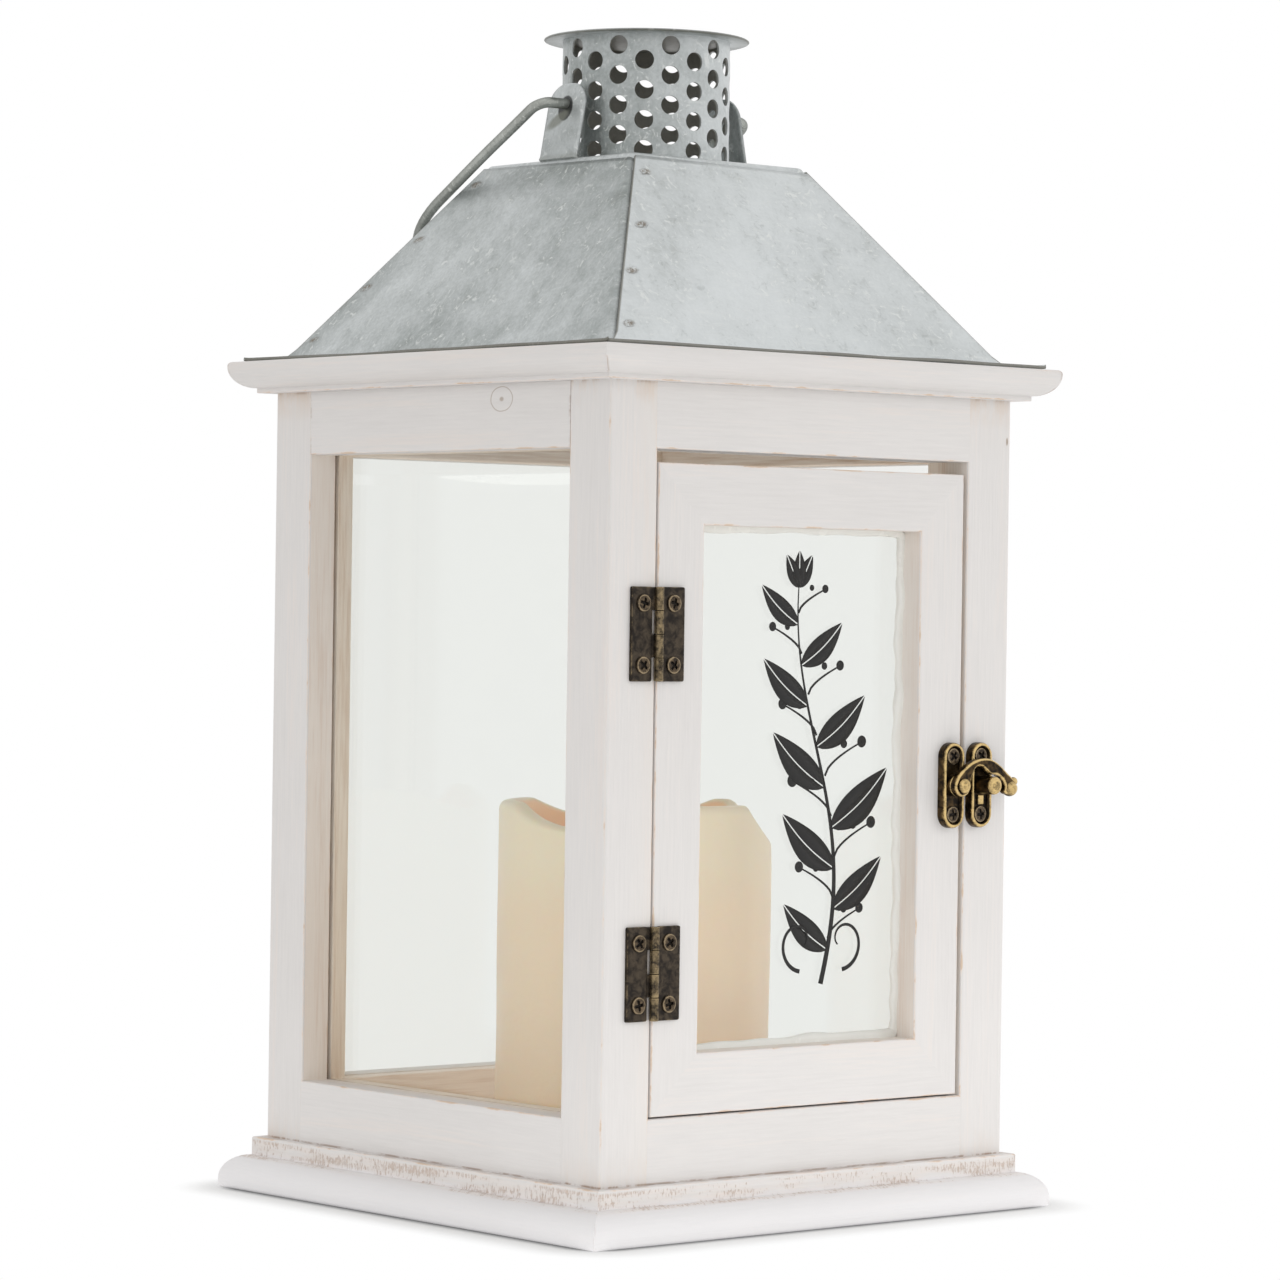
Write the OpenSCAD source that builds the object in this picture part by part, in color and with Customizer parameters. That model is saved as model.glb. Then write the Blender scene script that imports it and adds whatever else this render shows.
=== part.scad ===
// Candle lantern: a square wooden case with a hinged glass door, a sheet-metal
// hip roof, a perforated chimney, a wire bail and a battery pillar candle.
// Millimetres. The origin is the centre of the base's underside, +Z is up and
// the door is on the -Y side.

/* [Case] */
// Outside width of the square case
body_w = 140; // [120:1:180]
// Height of the corner posts
body_h = 201; // [170:1:260]
// Width of a square corner post, and depth of a rail
post_w = 15.6; // [14.5:0.1:20]
// Height of a top rail
top_rail_h = 16.8; // [12:0.1:24]
// Height of a bottom rail
bottom_rail_h = 16.4; // [12:0.1:24]

/* [Panes] */
// Thickness of every glass pane
pane_t = 2; // [1.5:0.1:3]
// Depth of a fixed pane behind the outside face of its wall
pane_inset = 8.6; // [5:0.1:9]
// How far a fixed pane reaches into each groove
pane_bite = 3; // [2:0.1:4]
// Side clearance of a pane in its groove
pane_clear = 0.1; // [0.05:0.01:0.2]
// Depth left free behind a pane's edge in its groove
groove_spare = 0.5; // [0.2:0.1:1]

/* [Base] */
// How far the base slab stands out past the case
base_out = 9.3; // [7:0.1:14]
// Height of the base slab
slab_h = 8.9; // [7.5:0.1:14]
// Radius of the slab's rounded upper edge
slab_round = 6.5; // [3:0.1:7]
// How far the upper step stands out past the case
step_out = 2.8; // [1:0.1:5]
// Height of the upper step
step_h = 4.9; // [3:0.1:8]
// Width of a base moulding, seen from below
base_bar_w = 20; // [18:0.5:30]
// Thickness of the floor board
floor_t = 6; // [3:0.5:8]
// Gap round the floor board
floor_gap = 0.2; // [0.1:0.05:0.5]

/* [Cornice] */
// How far the cornice stands out past the case
cornice_out = 9.6; // [7:0.1:14]
// Height of the cornice
cornice_h = 8.4; // [8:0.1:14]
// How far the cornice's lower fillet stands out past the case
fillet_out = 3.8; // [2:0.1:5]
// Height of the cornice's lower fillet
fillet_h = 1.3; // [0.5:0.1:2]
// Radius of the cornice's rounded underside
cornice_round = 5.8; // [3:0.1:6]
// Radius of the cornice's eased top edge
cornice_ease = 1.1; // [0.3:0.1:1.2]

/* [Roof] */
// Thickness of the galvanised sheet
sheet_t = 0.8; // [0.6:0.1:1.2]
// Height of the slopes above the cornice
roof_rise = 52.5; // [35:0.5:80]
// Width of the roof where the slopes start
roof_foot_w = 137.6; // [124:0.1:138]
// Width of the flat flange round the foot of the slopes
flange_w = 7.6; // [4:0.1:10]
// Width of the roof at the top
roof_top_w = 62.6; // [60:0.1:70]
// Width of the folded strip under each hip
hip_lap = 8; // [4:0.5:12]
// Depth of the top plate's lip, folded down inside the slopes
lip_drop = 5; // [3:0.5:8]
// Diameter of the vent hole under the chimney
vent_d = 36; // [20:1:40]

/* [Chimney] */
// Outside diameter of the chimney
chimney_d = 45; // [42:0.1:46]
// Height of the chimney
chimney_h = 34.2; // [34:0.1:50]
// Diameter of a vent perforation
perf_d = 5; // [3:0.1:5.5]
// Spacing of the perforations up a column
perf_pitch = 7.9; // [7:0.1:9]
// Number of columns of perforations
perf_columns = 20; // [12:4:20]
// Perforations in a column
perf_rows = 4; // [1:1:4]
// Direction of the first column, counted from +X
perf_turn = 12.2; // [0:0.1:18]
// Height of the lowest perforation of an even column
perf_start = 3.5; // [3:0.1:5]
// Diameter of the chimney's flat cap
cap_d = 55.2; // [50:0.1:60]

/* [Handle] */
// Diameter of the bail's wire
wire_d = 2.8; // [2:0.1:3]
// Radial clearance of the wire in its ears
wire_clear = 0.1; // [0.05:0.01:0.1]
// Width of an ear
ear_w = 14.8; // [13:0.1:20]
// Height of an ear
ear_h = 21.4; // [20:0.1:26]
// Radius of an ear's two upper corners
ear_round = 6; // [3:0.5:6.5]
// Height of the bail's pivot above the roof's top
pivot_h = 15.6; // [13:0.1:17]
// Distance from the centre to an ear's outer face at its foot
ear_x = 29.9; // [29:0.1:30]
// Inward lean of an ear
ear_lean = 11; // [5:1:12]
// Length of an ear's welded foot
ear_foot = 4.5; // [3:0.1:5]
// Distance from the centre to a leg of the bail
leg_x = 37; // [35:0.5:39]
// Length of a straight leg of the bail
leg_l = 44; // [40:1:60]
// Radius of the bend at the foot of a leg
bend_r = 4; // [3:0.5:4.5]
// Angle of the resting bail below the horizontal
rest_drop = 29.5; // [28:0.1:31]

/* [Door] */
// Gap on the hinge side of the door
gap_hinge = 0.7; // [0.5:0.1:1.2]
// Gap on the latch side of the door
gap_latch = 1.6; // [1.5:0.1:2.5]
// Gap above the door
gap_top = 3.4; // [1:0.1:5]
// Gap below the door
gap_bottom = 0.5; // [0.4:0.1:2]
// Width of a door stile or door rail
door_bar_w = 15.4; // [12:0.1:20]
// Thickness of the door
door_t = 10; // [8:0.1:12]
// Width of the rebate that holds the door's pane
rebate_w = 4; // [3:0.1:6]
// Depth of the pane behind the back face of the door
rebate_extra = 0.2; // [0:0.1:1]
// Size of the clear sealant bead round the door's pane
bead_w = 2; // [1:0.1:3]

/* [Hinges] */
// Height of a hinge
hinge_h = 23.7; // [20:0.1:30]
// Width of a hinge leaf from the pin's axis
leaf_w = 8.7; // [7.5:0.1:10]
// Thickness of a hinge leaf
leaf_t = 0.9; // [0.6:0.1:1]
// Outside diameter of a knuckle
knuckle_d = 2.4; // [2.2:0.1:3]
// Diameter of a hinge pin
pin_d = 1.2; // [1:0.1:1.4]
// Radial clearance of the pin in a moving knuckle
pin_clear = 0.05; // [0.02:0.01:0.1]
// Gap between knuckles
knuckle_gap = 0.15; // [0.1:0.05:0.3]
// Distance from the door's top to the upper hinge's middle
hinge_top_inset = 43; // [20:1:60]
// Distance from the door's bottom to the lower hinge's middle
hinge_bottom_inset = 36; // [20:1:60]
// Distance from the pin's axis to a screw
leaf_screw_x = 5; // [4.6:0.1:6]
// Distance between the screws of a leaf
leaf_screw_gap = 15.5; // [12:0.1:17]

/* [Screws] */
// Diameter of a screw head
head_d = 4.4; // [3.5:0.1:4.6]
// Height of a screw head
head_h = 0.5; // [0.3:0.1:0.6]
// Diameter of a screw's shank
shank_d = 2.2; // [1.8:0.1:2.4]
// Length of a screw's shank
shank_l = 7; // [5:0.5:8]
// Radial clearance of a screw in its hole
screw_clear = 0.05; // [0.02:0.01:0.1]

/* [Latch] */
// Height of the latch's middle above the base's underside
latch_z = 112.5; // [80:0.5:150]
// Height of a latch plate
plate_h = 22.6; // [20:0.1:26]
// Width of a latch plate
plate_w = 7.6; // [7:0.1:8]
// Thickness of a latch plate
plate_t = 2.6; // [2:0.1:3]
// Width of the raised rim of a latch plate
rim_w = 1.2; // [0.8:0.1:1.4]
// Depth of the field inside the rim
rim_depth = 1; // [0.5:0.1:1.2]
// Gap from the seam of the door to the door's latch plate
plate_gap_door = 0.5; // [0.3:0.1:1]
// Gap from the seam of the door to the post's latch plate
plate_gap_post = 0.5; // [0.3:0.1:1]
// Distance between the screws of a plate
plate_screw_gap = 15.4; // [15.2:0.1:17]
// Diameter of the latch stud
stud_d = 4.8; // [4:0.1:5]
// Length of the stud in front of its plate
stud_l = 5.4; // [5:0.1:7]
// Thickness of the swing arm
arm_t = 2; // [1.5:0.1:2.2]
// Height of the boss under the swing arm
boss_h = 1.3; // [1.1:0.1:2]
// Radius of the swing arm's hub
hub_r = 2.9; // [2.6:0.1:3.2]
// Diameter of the pivot rivet
rivet_d = 2.4; // [2:0.1:2.6]
// Radial clearance of the rivet in the arm
rivet_clear = 0.05; // [0.02:0.01:0.1]
// Diameter of the rivet's head
rivet_head_d = 3.9; // [3.2:0.1:4.2]
// Height of the rivet's head
rivet_head_h = 1.1; // [0.6:0.1:1.5]
// Clearance between the stud and the hook of the arm
hook_clear = 0.3; // [0.25:0.05:0.5]

/* [Candle] */
// Diameter of the candle
candle_d = 72; // [60:1:76]
// Height of the candle to its highest rim
candle_h = 92.5; // [80:0.5:120]
// Thickness of the wax wall
wax_t = 5; // [3:0.5:8]
// Depth of the burnt-down well
well_depth = 17; // [12:1:24]
// Thickness of the wax left above the housing
well_floor_t = 3; // [2:0.5:5]
// Depth of the deepest dip in the rim
rim_dip = 5; // [2:0.5:8]
// Diameter of the light in the well
bulb_d = 8; // [5:0.5:12]
// Height of the light above the well's floor
bulb_h = 9; // [6:0.5:12]
// Wall thickness of the plastic housing
housing_t = 1.6; // [1.2:0.1:2.5]
// Clearance between the housing and the wax
housing_gap = 0.3; // [0.2:0.05:0.5]
// Depth of the recess under the candle
foot_recess = 3; // [2.6:0.1:4]
// Diameter of a battery cell
cell_d = 14; // [10:0.5:14.5]
// Length of a battery cell
cell_l = 50; // [44:0.5:50.5]
// Travel of the slide switch
switch_travel = 3; // [2:0.5:4]

/* [Hidden] */
$fn = 64;
eps = 0.01;

half = body_w / 2;
inner = half - post_w;                       // half width of an opening
base_half = half + base_out;
base_h = slab_h + step_h;
body_top = base_h + body_h;
rail_bottom_z = base_h + bottom_rail_h;      // foot of every opening
rail_top_z = body_top - top_rail_h;          // head of every opening
groove_w = pane_t + 2 * pane_clear;
groove_d = pane_bite + groove_spare;
groove_y = pane_inset - pane_clear;          // face of the wall to the groove

cornice_top = body_top + cornice_h;
foot_half = roof_foot_w / 2;
top_half = roof_top_w / 2;
flange_top = cornice_top + sheet_t;
roof_top = cornice_top + roof_rise;
slope_rise = roof_top - flange_top;
slope_run = foot_half - top_half;
slope = atan2(slope_rise, slope_run);
plate_top = roof_top;                        // the top plate lies inside the slopes
seat_gap = 0.05;                             // play round the folded lip

pivot_z = plate_top + pivot_h;
wire_r = wire_d / 2;
// inner end of the bail, a little inside the leaning ear
stub_x = round(10 * (ear_x - pivot_h * tan(ear_lean) - sheet_t - 1.2)) / 10;

door_x0 = -inner + gap_hinge;
door_x1 = inner - gap_latch;
door_z0 = rail_bottom_z + gap_bottom;
door_z1 = rail_top_z - gap_top;
door_y0 = -half;
rebate_d = pane_t + rebate_extra;
pane_fit = 0.3;                              // play of the door's pane in its rebate

knuckle_r = knuckle_d / 2;
axis_x = -inner + gap_hinge / 2;
axis_y = -half - knuckle_r;
knuckle_n = 4;
hinge_zs = [door_z1 - hinge_top_inset, door_z0 + hinge_bottom_inset];

latch_door_x = door_x1 - plate_gap_door - plate_w / 2;
latch_post_x = inner + plate_gap_post + plate_w / 2;
latch_y = -half - plate_t;                   // front of both plates
arm_y = latch_y - boss_h;                    // back of the arm
stud_dx = latch_post_x - latch_door_x;
lug_w = 2;                                   // small lug under the stud
lug_h = 2.6;
lug_drop = 1.6;

candle_r = candle_d / 2;
floor_z = base_h;
well_z = floor_z + candle_h - well_depth;
housing_top = well_z - well_floor_t - housing_gap;
housing_r = candle_r - wax_t - housing_gap;
deck_z = floor_z + foot_recess;              // underside of the battery deck
deck_t = 2;
stem_r = bulb_d / 4;
stem_clear = 0.1;
switch_x = 24;
switch_w = 5;
switch_l = 4;
cover_w = 36;
cover_l = 20;
cover_t = 1.5;
block_x = 11;                                // blocks on the cover that carry the contacts
block_w = 4;
block_l = 6;
block_h = 1.2;
contact_w = 8;
contact_t = 0.4;
cell_gap = 1.2;
cell_z = deck_z + cover_t + block_h + contact_t;
nub_d = 5.5;                                 // raised end of a cell
nub_h = 1;

// ---------- shared shapes ----------

// Turns a shape made for the front wall to wall k, counted anticlockwise.
module at_side(k) {
    rotate([0, 0, 90 * k]) children();
}

// A profile [distance out from the centre, height] run along the front wall and
// cut at 45 degrees at both ends.
module mitred_bar(profile, reach) {
    intersection() {
        rotate([90, 0, 90])
            linear_extrude(height = 2 * reach, center = true)
                polygon([for (p = profile) [-p[0], p[1]]]);
        linear_extrude(height = 3 * roof_top)
            polygon([[0, 0], [-reach, -reach], [reach, -reach]]);
    }
}

// Points of a quarter circle from angle a to b, both inclusive.
function arc_points(cx, cz, r, a, b, n = 12) =
    [for (i = [0 : n]) let (t = a + (b - a) * i / n) [cx + r * cos(t), cz + r * sin(t)]];

// One screw: head and shank, driven along +Y, with the underside of its head at
// the origin and a cross recess.
module screw() {
    rotate([90, 0, 0])
        difference() {
            union() {
                cylinder(d = head_d, h = head_h);
                translate([0, 0, -shank_l]) cylinder(d = shank_d, h = shank_l + eps);
            }
            for (turn = [0, 90])
                rotate([0, 0, turn])
                    translate([0, 0, head_h])
                        cube([head_d * 0.6, 0.6, head_h * 1.2], center = true);
        }
}

// The hole that a screw passes through.
module screw_hole() {
    rotate([90, 0, 0])
        translate([0, 0, -shank_l - 0.2])
            cylinder(r = shank_d / 2 + screw_clear, h = shank_l + 4);
}

// ---------- case ----------

base_profile = concat(
    [[base_half - base_bar_w, 0], [base_half, 0]],
    arc_points(base_half - slab_round, slab_h - slab_round, slab_round, 0, 90),
    [[half + step_out, slab_h], [half + step_out, base_h], [base_half - base_bar_w, base_h]]);

module base_moulding(k) {
    color("#d9d6cf")
        at_side(k) mitred_bar(base_profile, base_half + 1);
}

module floor_board() {
    w = 2 * (base_half - base_bar_w - floor_gap);
    color("#cdbd9f")
        translate([-w / 2, -w / 2, floor_z - floor_t]) cube([w, w, floor_t]);
}

// Corner post k stands at (-X, -Y), turned by k quarter turns. wall_a says
// whether it has the groove for the wall on its -X side, wall_b on its -Y side.
module corner_post(k, wall_a, wall_b) {
    color("#dedbd4")
        difference() {
            at_side(k)
                difference() {
                    translate([-half, -half, base_h]) cube([post_w, post_w, body_h]);
                    if (wall_a)
                        translate([-half + groove_y, -inner - groove_d, rail_bottom_z - groove_d])
                            cube([groove_w, groove_d + eps, rail_top_z - rail_bottom_z + 2 * groove_d]);
                    if (wall_b)
                        translate([-inner - groove_d, -half + groove_y, rail_bottom_z - groove_d])
                            cube([groove_d + eps, groove_w, rail_top_z - rail_bottom_z + 2 * groove_d]);
                }
            if (k == 0) hinge_screw_places(-1) screw_hole();
            if (k == 1) plate_screw_places(latch_post_x) screw_hole();
        }
}

module bottom_rail(k, grooved) {
    color("#dedbd4")
        at_side(k)
            difference() {
                translate([-inner, -half, base_h]) cube([2 * inner, post_w, bottom_rail_h]);
                if (grooved)
                    translate([-inner - eps, -half + groove_y, rail_bottom_z - groove_d])
                        cube([2 * inner + 2 * eps, groove_w, groove_d + eps]);
            }
}

module top_rail(k, grooved) {
    color("#dedbd4")
        at_side(k)
            difference() {
                translate([-inner, -half, rail_top_z]) cube([2 * inner, post_w, top_rail_h]);
                if (grooved)
                    translate([-inner - eps, -half + groove_y, rail_top_z - eps])
                        cube([2 * inner + 2 * eps, groove_w, groove_d + eps]);
            }
}

// The pane stands on the foot of its groove.
module pane(k) {
    color("#dfe8ea", 0.35)
        at_side(k)
            translate([-inner - pane_bite, -half + pane_inset, rail_bottom_z - groove_d])
                cube([2 * (inner + pane_bite), pane_t,
                      rail_top_z - rail_bottom_z + groove_d + pane_bite]);
}

cornice_profile = concat(
    [[inner, body_top], [half + fillet_out, body_top], [half + fillet_out, body_top + fillet_h]],
    arc_points(half + cornice_out - cornice_round, body_top + fillet_h + cornice_round,
               cornice_round, -90, 0),
    arc_points(half + cornice_out - cornice_ease, cornice_top - cornice_ease,
               cornice_ease, 0, 90, 4),
    [[inner, cornice_top]]);

module cornice(k) {
    color("#d8d5ce")
        at_side(k) mitred_bar(cornice_profile, half + cornice_out + 1);
}

// ---------- roof ----------

// Horizontal thickness of the sloping sheet.
sheet_x = sheet_t / sin(slope);

// Outside half width of the slope at height z.
function slope_half(z) = top_half + (roof_top - z) / tan(slope);

flange_profile = [
    [foot_half + flange_w, cornice_top], [foot_half + flange_w, flange_top],
    [foot_half, flange_top], [top_half, roof_top], [top_half - sheet_x, roof_top],
    [slope_half(cornice_top) - sheet_x, cornice_top]];

// The strip folded under the neighbour's edge follows the inner face of the
// neighbour's sheet and ends below the top plate's lip.
lap_top = roof_top - lip_drop - 0.5;
lap_profile = [
    [slope_half(flange_top) - sheet_x, flange_top], [slope_half(lap_top) - sheet_x, lap_top],
    [slope_half(lap_top) - 2 * sheet_x, lap_top], [slope_half(flange_top) - 2 * sheet_x, flange_top]];

module roof_panel(k) {
    reach = foot_half + flange_w + 1;
    // how far the strip's root reaches back into its own sheet
    tuck = 0.6 * sheet_t / sin(slope) / 2;
    color(k == 0 ? "#c9d0d4" : "#9aa19f")
        at_side(k) {
            mitred_bar(flange_profile, reach);
            // hip strip, under the next panel to the right
            intersection() {
                at_side(1)
                    rotate([90, 0, 90])
                        linear_extrude(height = 2 * reach, center = true)
                            polygon([for (p = lap_profile) [-p[0], p[1]]]);
                linear_extrude(height = 3 * roof_top)
                    polygon([[top_half / 2 - tuck, -top_half / 2 - tuck], [reach - tuck, -reach - tuck],
                             [reach + hip_lap, -reach + hip_lap],
                             [top_half / 2 + hip_lap, -top_half / 2 + hip_lap]]);
            }
        }
}

// A square frustum with the slope of the roof, grown outwards by out.
module roof_frustum(z0, z1, out) {
    g = out / sin(slope);
    intersection_for (turn = [0, 90])
        rotate([0, 0, turn])
            rotate([90, 0, 0])
                linear_extrude(height = 2 * foot_half, center = true)
                    polygon([[-slope_half(z0) - g, z0], [slope_half(z0) + g, z0],
                             [slope_half(z1) + g, z1], [-slope_half(z1) - g, z1]]);
}

// A square pan with its lip folded down, lying on the inside of the slopes.
module roof_top_plate() {
    color("#a9afae")
        difference() {
            roof_frustum(plate_top - lip_drop, plate_top, -sheet_t - seat_gap);
            roof_frustum(plate_top - lip_drop - 1, plate_top - sheet_t, -2 * sheet_t - seat_gap);
            translate([0, 0, plate_top - 2 * sheet_t]) cylinder(d = vent_d, h = 3 * sheet_t);
        }
}

// ---------- chimney ----------

module chimney() {
    half_pitch = perf_pitch / 2;
    step = 360 / perf_columns;
    color("#9ea3a1")
        translate([0, 0, plate_top])
            difference() {
                cylinder(d = chimney_d, h = chimney_h);
                translate([0, 0, -1]) cylinder(d = chimney_d - 2 * sheet_t, h = chimney_h + 2);
                for (column = [0 : perf_columns - 1], row = [0 : perf_rows - 1])
                    rotate([0, 0, perf_turn + column * step])
                        translate([chimney_d / 2 - 3 * sheet_t, 0,
                                   perf_start + row * perf_pitch + (column % 2) * half_pitch])
                            rotate([0, 90, 0]) cylinder(d = perf_d, h = 4 * sheet_t);
            }
}

module chimney_cap() {
    color("#b4b9b8")
        translate([0, 0, plate_top + chimney_h]) cylinder(d = cap_d, h = sheet_t);
}

// ---------- handle ----------

// An ear stands on the top plate and leans towards the chimney. Its foot is
// welded to the plate.
module ear(side) {
    mirror([side > 0 ? 1 : 0, 0, 0])
        color("#b3b8b6")
            difference() {
                union() {
                    translate([-ear_x, 0, plate_top])
                        rotate([0, ear_lean, 0]) {
                            translate([0, -ear_w / 2, sheet_t]) cube([sheet_t, ear_w, ear_h - ear_round - sheet_t]);
                            translate([0, -ear_w / 2 + ear_round, sheet_t])
                                cube([sheet_t, ear_w - 2 * ear_round, ear_h - sheet_t]);
                            for (end = [-1, 1])
                                translate([0, end * (ear_w / 2 - ear_round), ear_h - ear_round])
                                    rotate([0, 90, 0]) cylinder(r = ear_round, h = sheet_t);
                        }
                    translate([-ear_x, -ear_w / 2, plate_top]) cube([ear_foot, ear_w, sheet_t + 0.2]);
                }
                translate([-ear_x - 2, 0, pivot_z])
                    rotate([0, 90, 0]) cylinder(r = wire_r + wire_clear, h = 2 * ear_foot);
            }
}

// Half of the bail: a stub through the ear, a bend, a straight leg and a quarter
// of the arc, drawn in the XY plane with the pivot on the X axis.
module bail_half() {
    translate([stub_x, 0, 0])
        rotate([0, 90, 0]) cylinder(r = wire_r, h = leg_x - bend_r - stub_x);
    translate([leg_x - bend_r, bend_r, 0])
        rotate([0, 0, -90]) rotate_extrude(angle = 90) translate([bend_r, 0]) circle(r = wire_r);
    translate([leg_x, bend_r, 0])
        rotate([-90, 0, 0]) cylinder(r = wire_r, h = leg_l);
    translate([0, bend_r + leg_l, 0])
        rotate_extrude(angle = 90) translate([leg_x, 0]) circle(r = wire_r);
}

module bail_handle() {
    color("#9da19a")
        translate([0, 0, pivot_z])
            rotate([-rest_drop, 0, 0])
                for (turn = [0, 180]) rotate([0, turn, 0]) bail_half();
}

// ---------- door ----------

// One mitred member of the door, as a layer of width w between two depths. side
// is 0 for the hinge stile, 1 for the latch stile, 2 for the top, 3 for the bottom.
module door_layer(side, w, y0, y1) {
    shapes = [
        [[door_x0, door_z0], [door_x0, door_z1], [door_x0 + w, door_z1 - w], [door_x0 + w, door_z0 + w]],
        [[door_x1, door_z0], [door_x1, door_z1], [door_x1 - w, door_z1 - w], [door_x1 - w, door_z0 + w]],
        [[door_x0, door_z1], [door_x1, door_z1], [door_x1 - w, door_z1 - w], [door_x0 + w, door_z1 - w]],
        [[door_x0, door_z0], [door_x1, door_z0], [door_x1 - w, door_z0 + w], [door_x0 + w, door_z0 + w]]];
    translate([0, y1, 0])
        rotate([90, 0, 0]) linear_extrude(height = y1 - y0) polygon(shapes[side]);
}

module door_member(side) {
    color("#e0ddd6")
        difference() {
            union() {
                door_layer(side, door_bar_w, door_y0, door_y0 + door_t - rebate_d);
                door_layer(side, door_bar_w - rebate_w, door_y0 + door_t - rebate_d, door_y0 + door_t);
            }
            if (side == 0) hinge_screw_places(1) screw_hole();
            if (side == 1) plate_screw_places(latch_door_x) screw_hole();
        }
}

door_pane_y = door_y0 + door_t - rebate_d;
sight = door_bar_w - rebate_w + pane_fit;

module door_pane() {
    color("#dfe8ea", 0.35)
        translate([door_x0 + sight, door_pane_y, door_z0 + sight])
            cube([door_x1 - door_x0 - 2 * sight, pane_t, door_z1 - door_z0 - 2 * sight]);
}

// A three-cornered bead in the angle between the frame and the pane.
module door_sealant() {
    x0 = door_x0 + door_bar_w;
    x1 = door_x1 - door_bar_w;
    z0 = door_z0 + door_bar_w;
    z1 = door_z1 - door_bar_w;
    y = door_pane_y;
    color("#e8ebea", 0.5) {
        intersection() {
            translate([0, 0, z0]) linear_extrude(height = z1 - z0)
                polygon([[x0, y], [x0, y - bead_w], [x0 + bead_w, y]]);
            translate([0, y, 0]) rotate([90, 0, 0]) linear_extrude(height = bead_w)
                polygon([[x0, z0], [x0 + bead_w, z0 + bead_w], [x0 + bead_w, z1 - bead_w], [x0, z1]]);
        }
        intersection() {
            translate([0, 0, z0]) linear_extrude(height = z1 - z0)
                polygon([[x1, y], [x1, y - bead_w], [x1 - bead_w, y]]);
            translate([0, y, 0]) rotate([90, 0, 0]) linear_extrude(height = bead_w)
                polygon([[x1, z0], [x1 - bead_w, z0 + bead_w], [x1 - bead_w, z1 - bead_w], [x1, z1]]);
        }
        for (end = [0, 1]) {
            z = end ? z1 : z0;
            dz = end ? -bead_w : bead_w;
            intersection() {
                rotate([90, 0, 90]) linear_extrude(height = body_w, center = true)
                    polygon([[y, z], [y - bead_w, z], [y, z + dz]]);
                translate([0, y, 0]) rotate([90, 0, 0]) linear_extrude(height = bead_w)
                    polygon([[x0, z], [x1, z], [x1 - bead_w, z + dz], [x0 + bead_w, z + dz]]);
            }
        }
    }
}

// ---------- hinges ----------

// Places children at the four screws of the leaves on one side of the pins.
module hinge_screw_places(side) {
    for (z = hinge_zs, dz = [-0.5, 0.5])
        translate([axis_x + side * leaf_screw_x, -half - leaf_t, z + dz * leaf_screw_gap])
            children();
}

// A leaf lies on the face of the wood. Its knuckles, counted from the top, have
// the parity given: 0 for the leaf on the post and 1 for the leaf on the door.
module hinge_leaf(z, side, parity) {
    knuckle_h = hinge_h / knuckle_n;
    top = z + hinge_h / 2;
    bore = parity == 0 ? 0 : pin_clear;
    clear_x = knuckle_r + 0.3;
    color("#4d443b")
        difference() {
            union() {
                translate([axis_x + (side > 0 ? clear_x : -leaf_w), -half - leaf_t, z - hinge_h / 2])
                    cube([leaf_w - clear_x, leaf_t, hinge_h]);
                for (i = [parity : 2 : knuckle_n - 1]) {
                    h = knuckle_h - knuckle_gap;
                    z0 = top - (i + 1) * knuckle_h + knuckle_gap / 2;
                    translate([axis_x, axis_y, z0]) cylinder(r = knuckle_r, h = h);
                    translate([axis_x + (side > 0 ? 0 : -clear_x - eps), -half - leaf_t, z0])
                        cube([clear_x + eps, leaf_t, h]);
                }
            }
            translate([axis_x, axis_y, z - hinge_h]) cylinder(r = pin_d / 2 + bore, h = 2 * hinge_h);
            for (dz = [-0.5, 0.5])
                translate([axis_x + side * leaf_screw_x, -half - leaf_t, z + dz * leaf_screw_gap])
                    screw_hole();
        }
}

module hinge_pins() {
    color("#6a5a48")
        for (z = hinge_zs)
            translate([axis_x, axis_y, z - hinge_h / 2]) cylinder(d = pin_d, h = hinge_h);
}

module case_screws() {
    color("#5c5042") {
        hinge_screw_places(-1) screw();
        plate_screw_places(latch_post_x) screw();
    }
}

module door_screws() {
    color("#5c5042") {
        hinge_screw_places(1) screw();
        plate_screw_places(latch_door_x) screw();
    }
}

// ---------- latch ----------

plate_field_y = -half - plate_t + rim_depth; // face that the plates' screws sit on

module plate_screw_places(x) {
    for (dz = [-0.5, 0.5])
        translate([x, plate_field_y, latch_z + dz * plate_screw_gap]) children();
}

// A flat outline in the plane of the wall, from y0 forwards by depth d.
module wall_extrude(y0, d) {
    translate([0, y0, 0]) rotate([90, 0, 0]) linear_extrude(height = d) children();
}

// The outline of a latch plate: straight sides and round ends, less the margin.
module plate_outline(margin) {
    r = plate_w / 2 - margin;
    straight = plate_h / 2 - plate_w / 2;
    translate([-r, -straight]) square([2 * r, 2 * straight]);
    for (s = [-1, 1]) translate([0, s * straight]) circle(r = r);
}

// A cast plate with a raised rim and a screw hole at each end.
module latch_plate(x) {
    difference() {
        translate([x, 0, latch_z])
            difference() {
                wall_extrude(-half, plate_t) plate_outline(0);
                wall_extrude(-half - plate_t + rim_depth, rim_depth + 1) plate_outline(rim_w);
            }
        plate_screw_places(x) screw_hole();
    }
}

module latch_door_plate() {
    color("#8d7646")
        difference() {
            union() {
                latch_plate(latch_door_x);
                translate([latch_door_x, 0, latch_z])
                    wall_extrude(-half - plate_t + rim_depth + eps, rim_depth + boss_h + eps)
                        circle(r = hub_r);
            }
            translate([latch_door_x, 0, latch_z])
                wall_extrude(-half, 2 * plate_t + boss_h) circle(d = rivet_d);
        }
}

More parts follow.
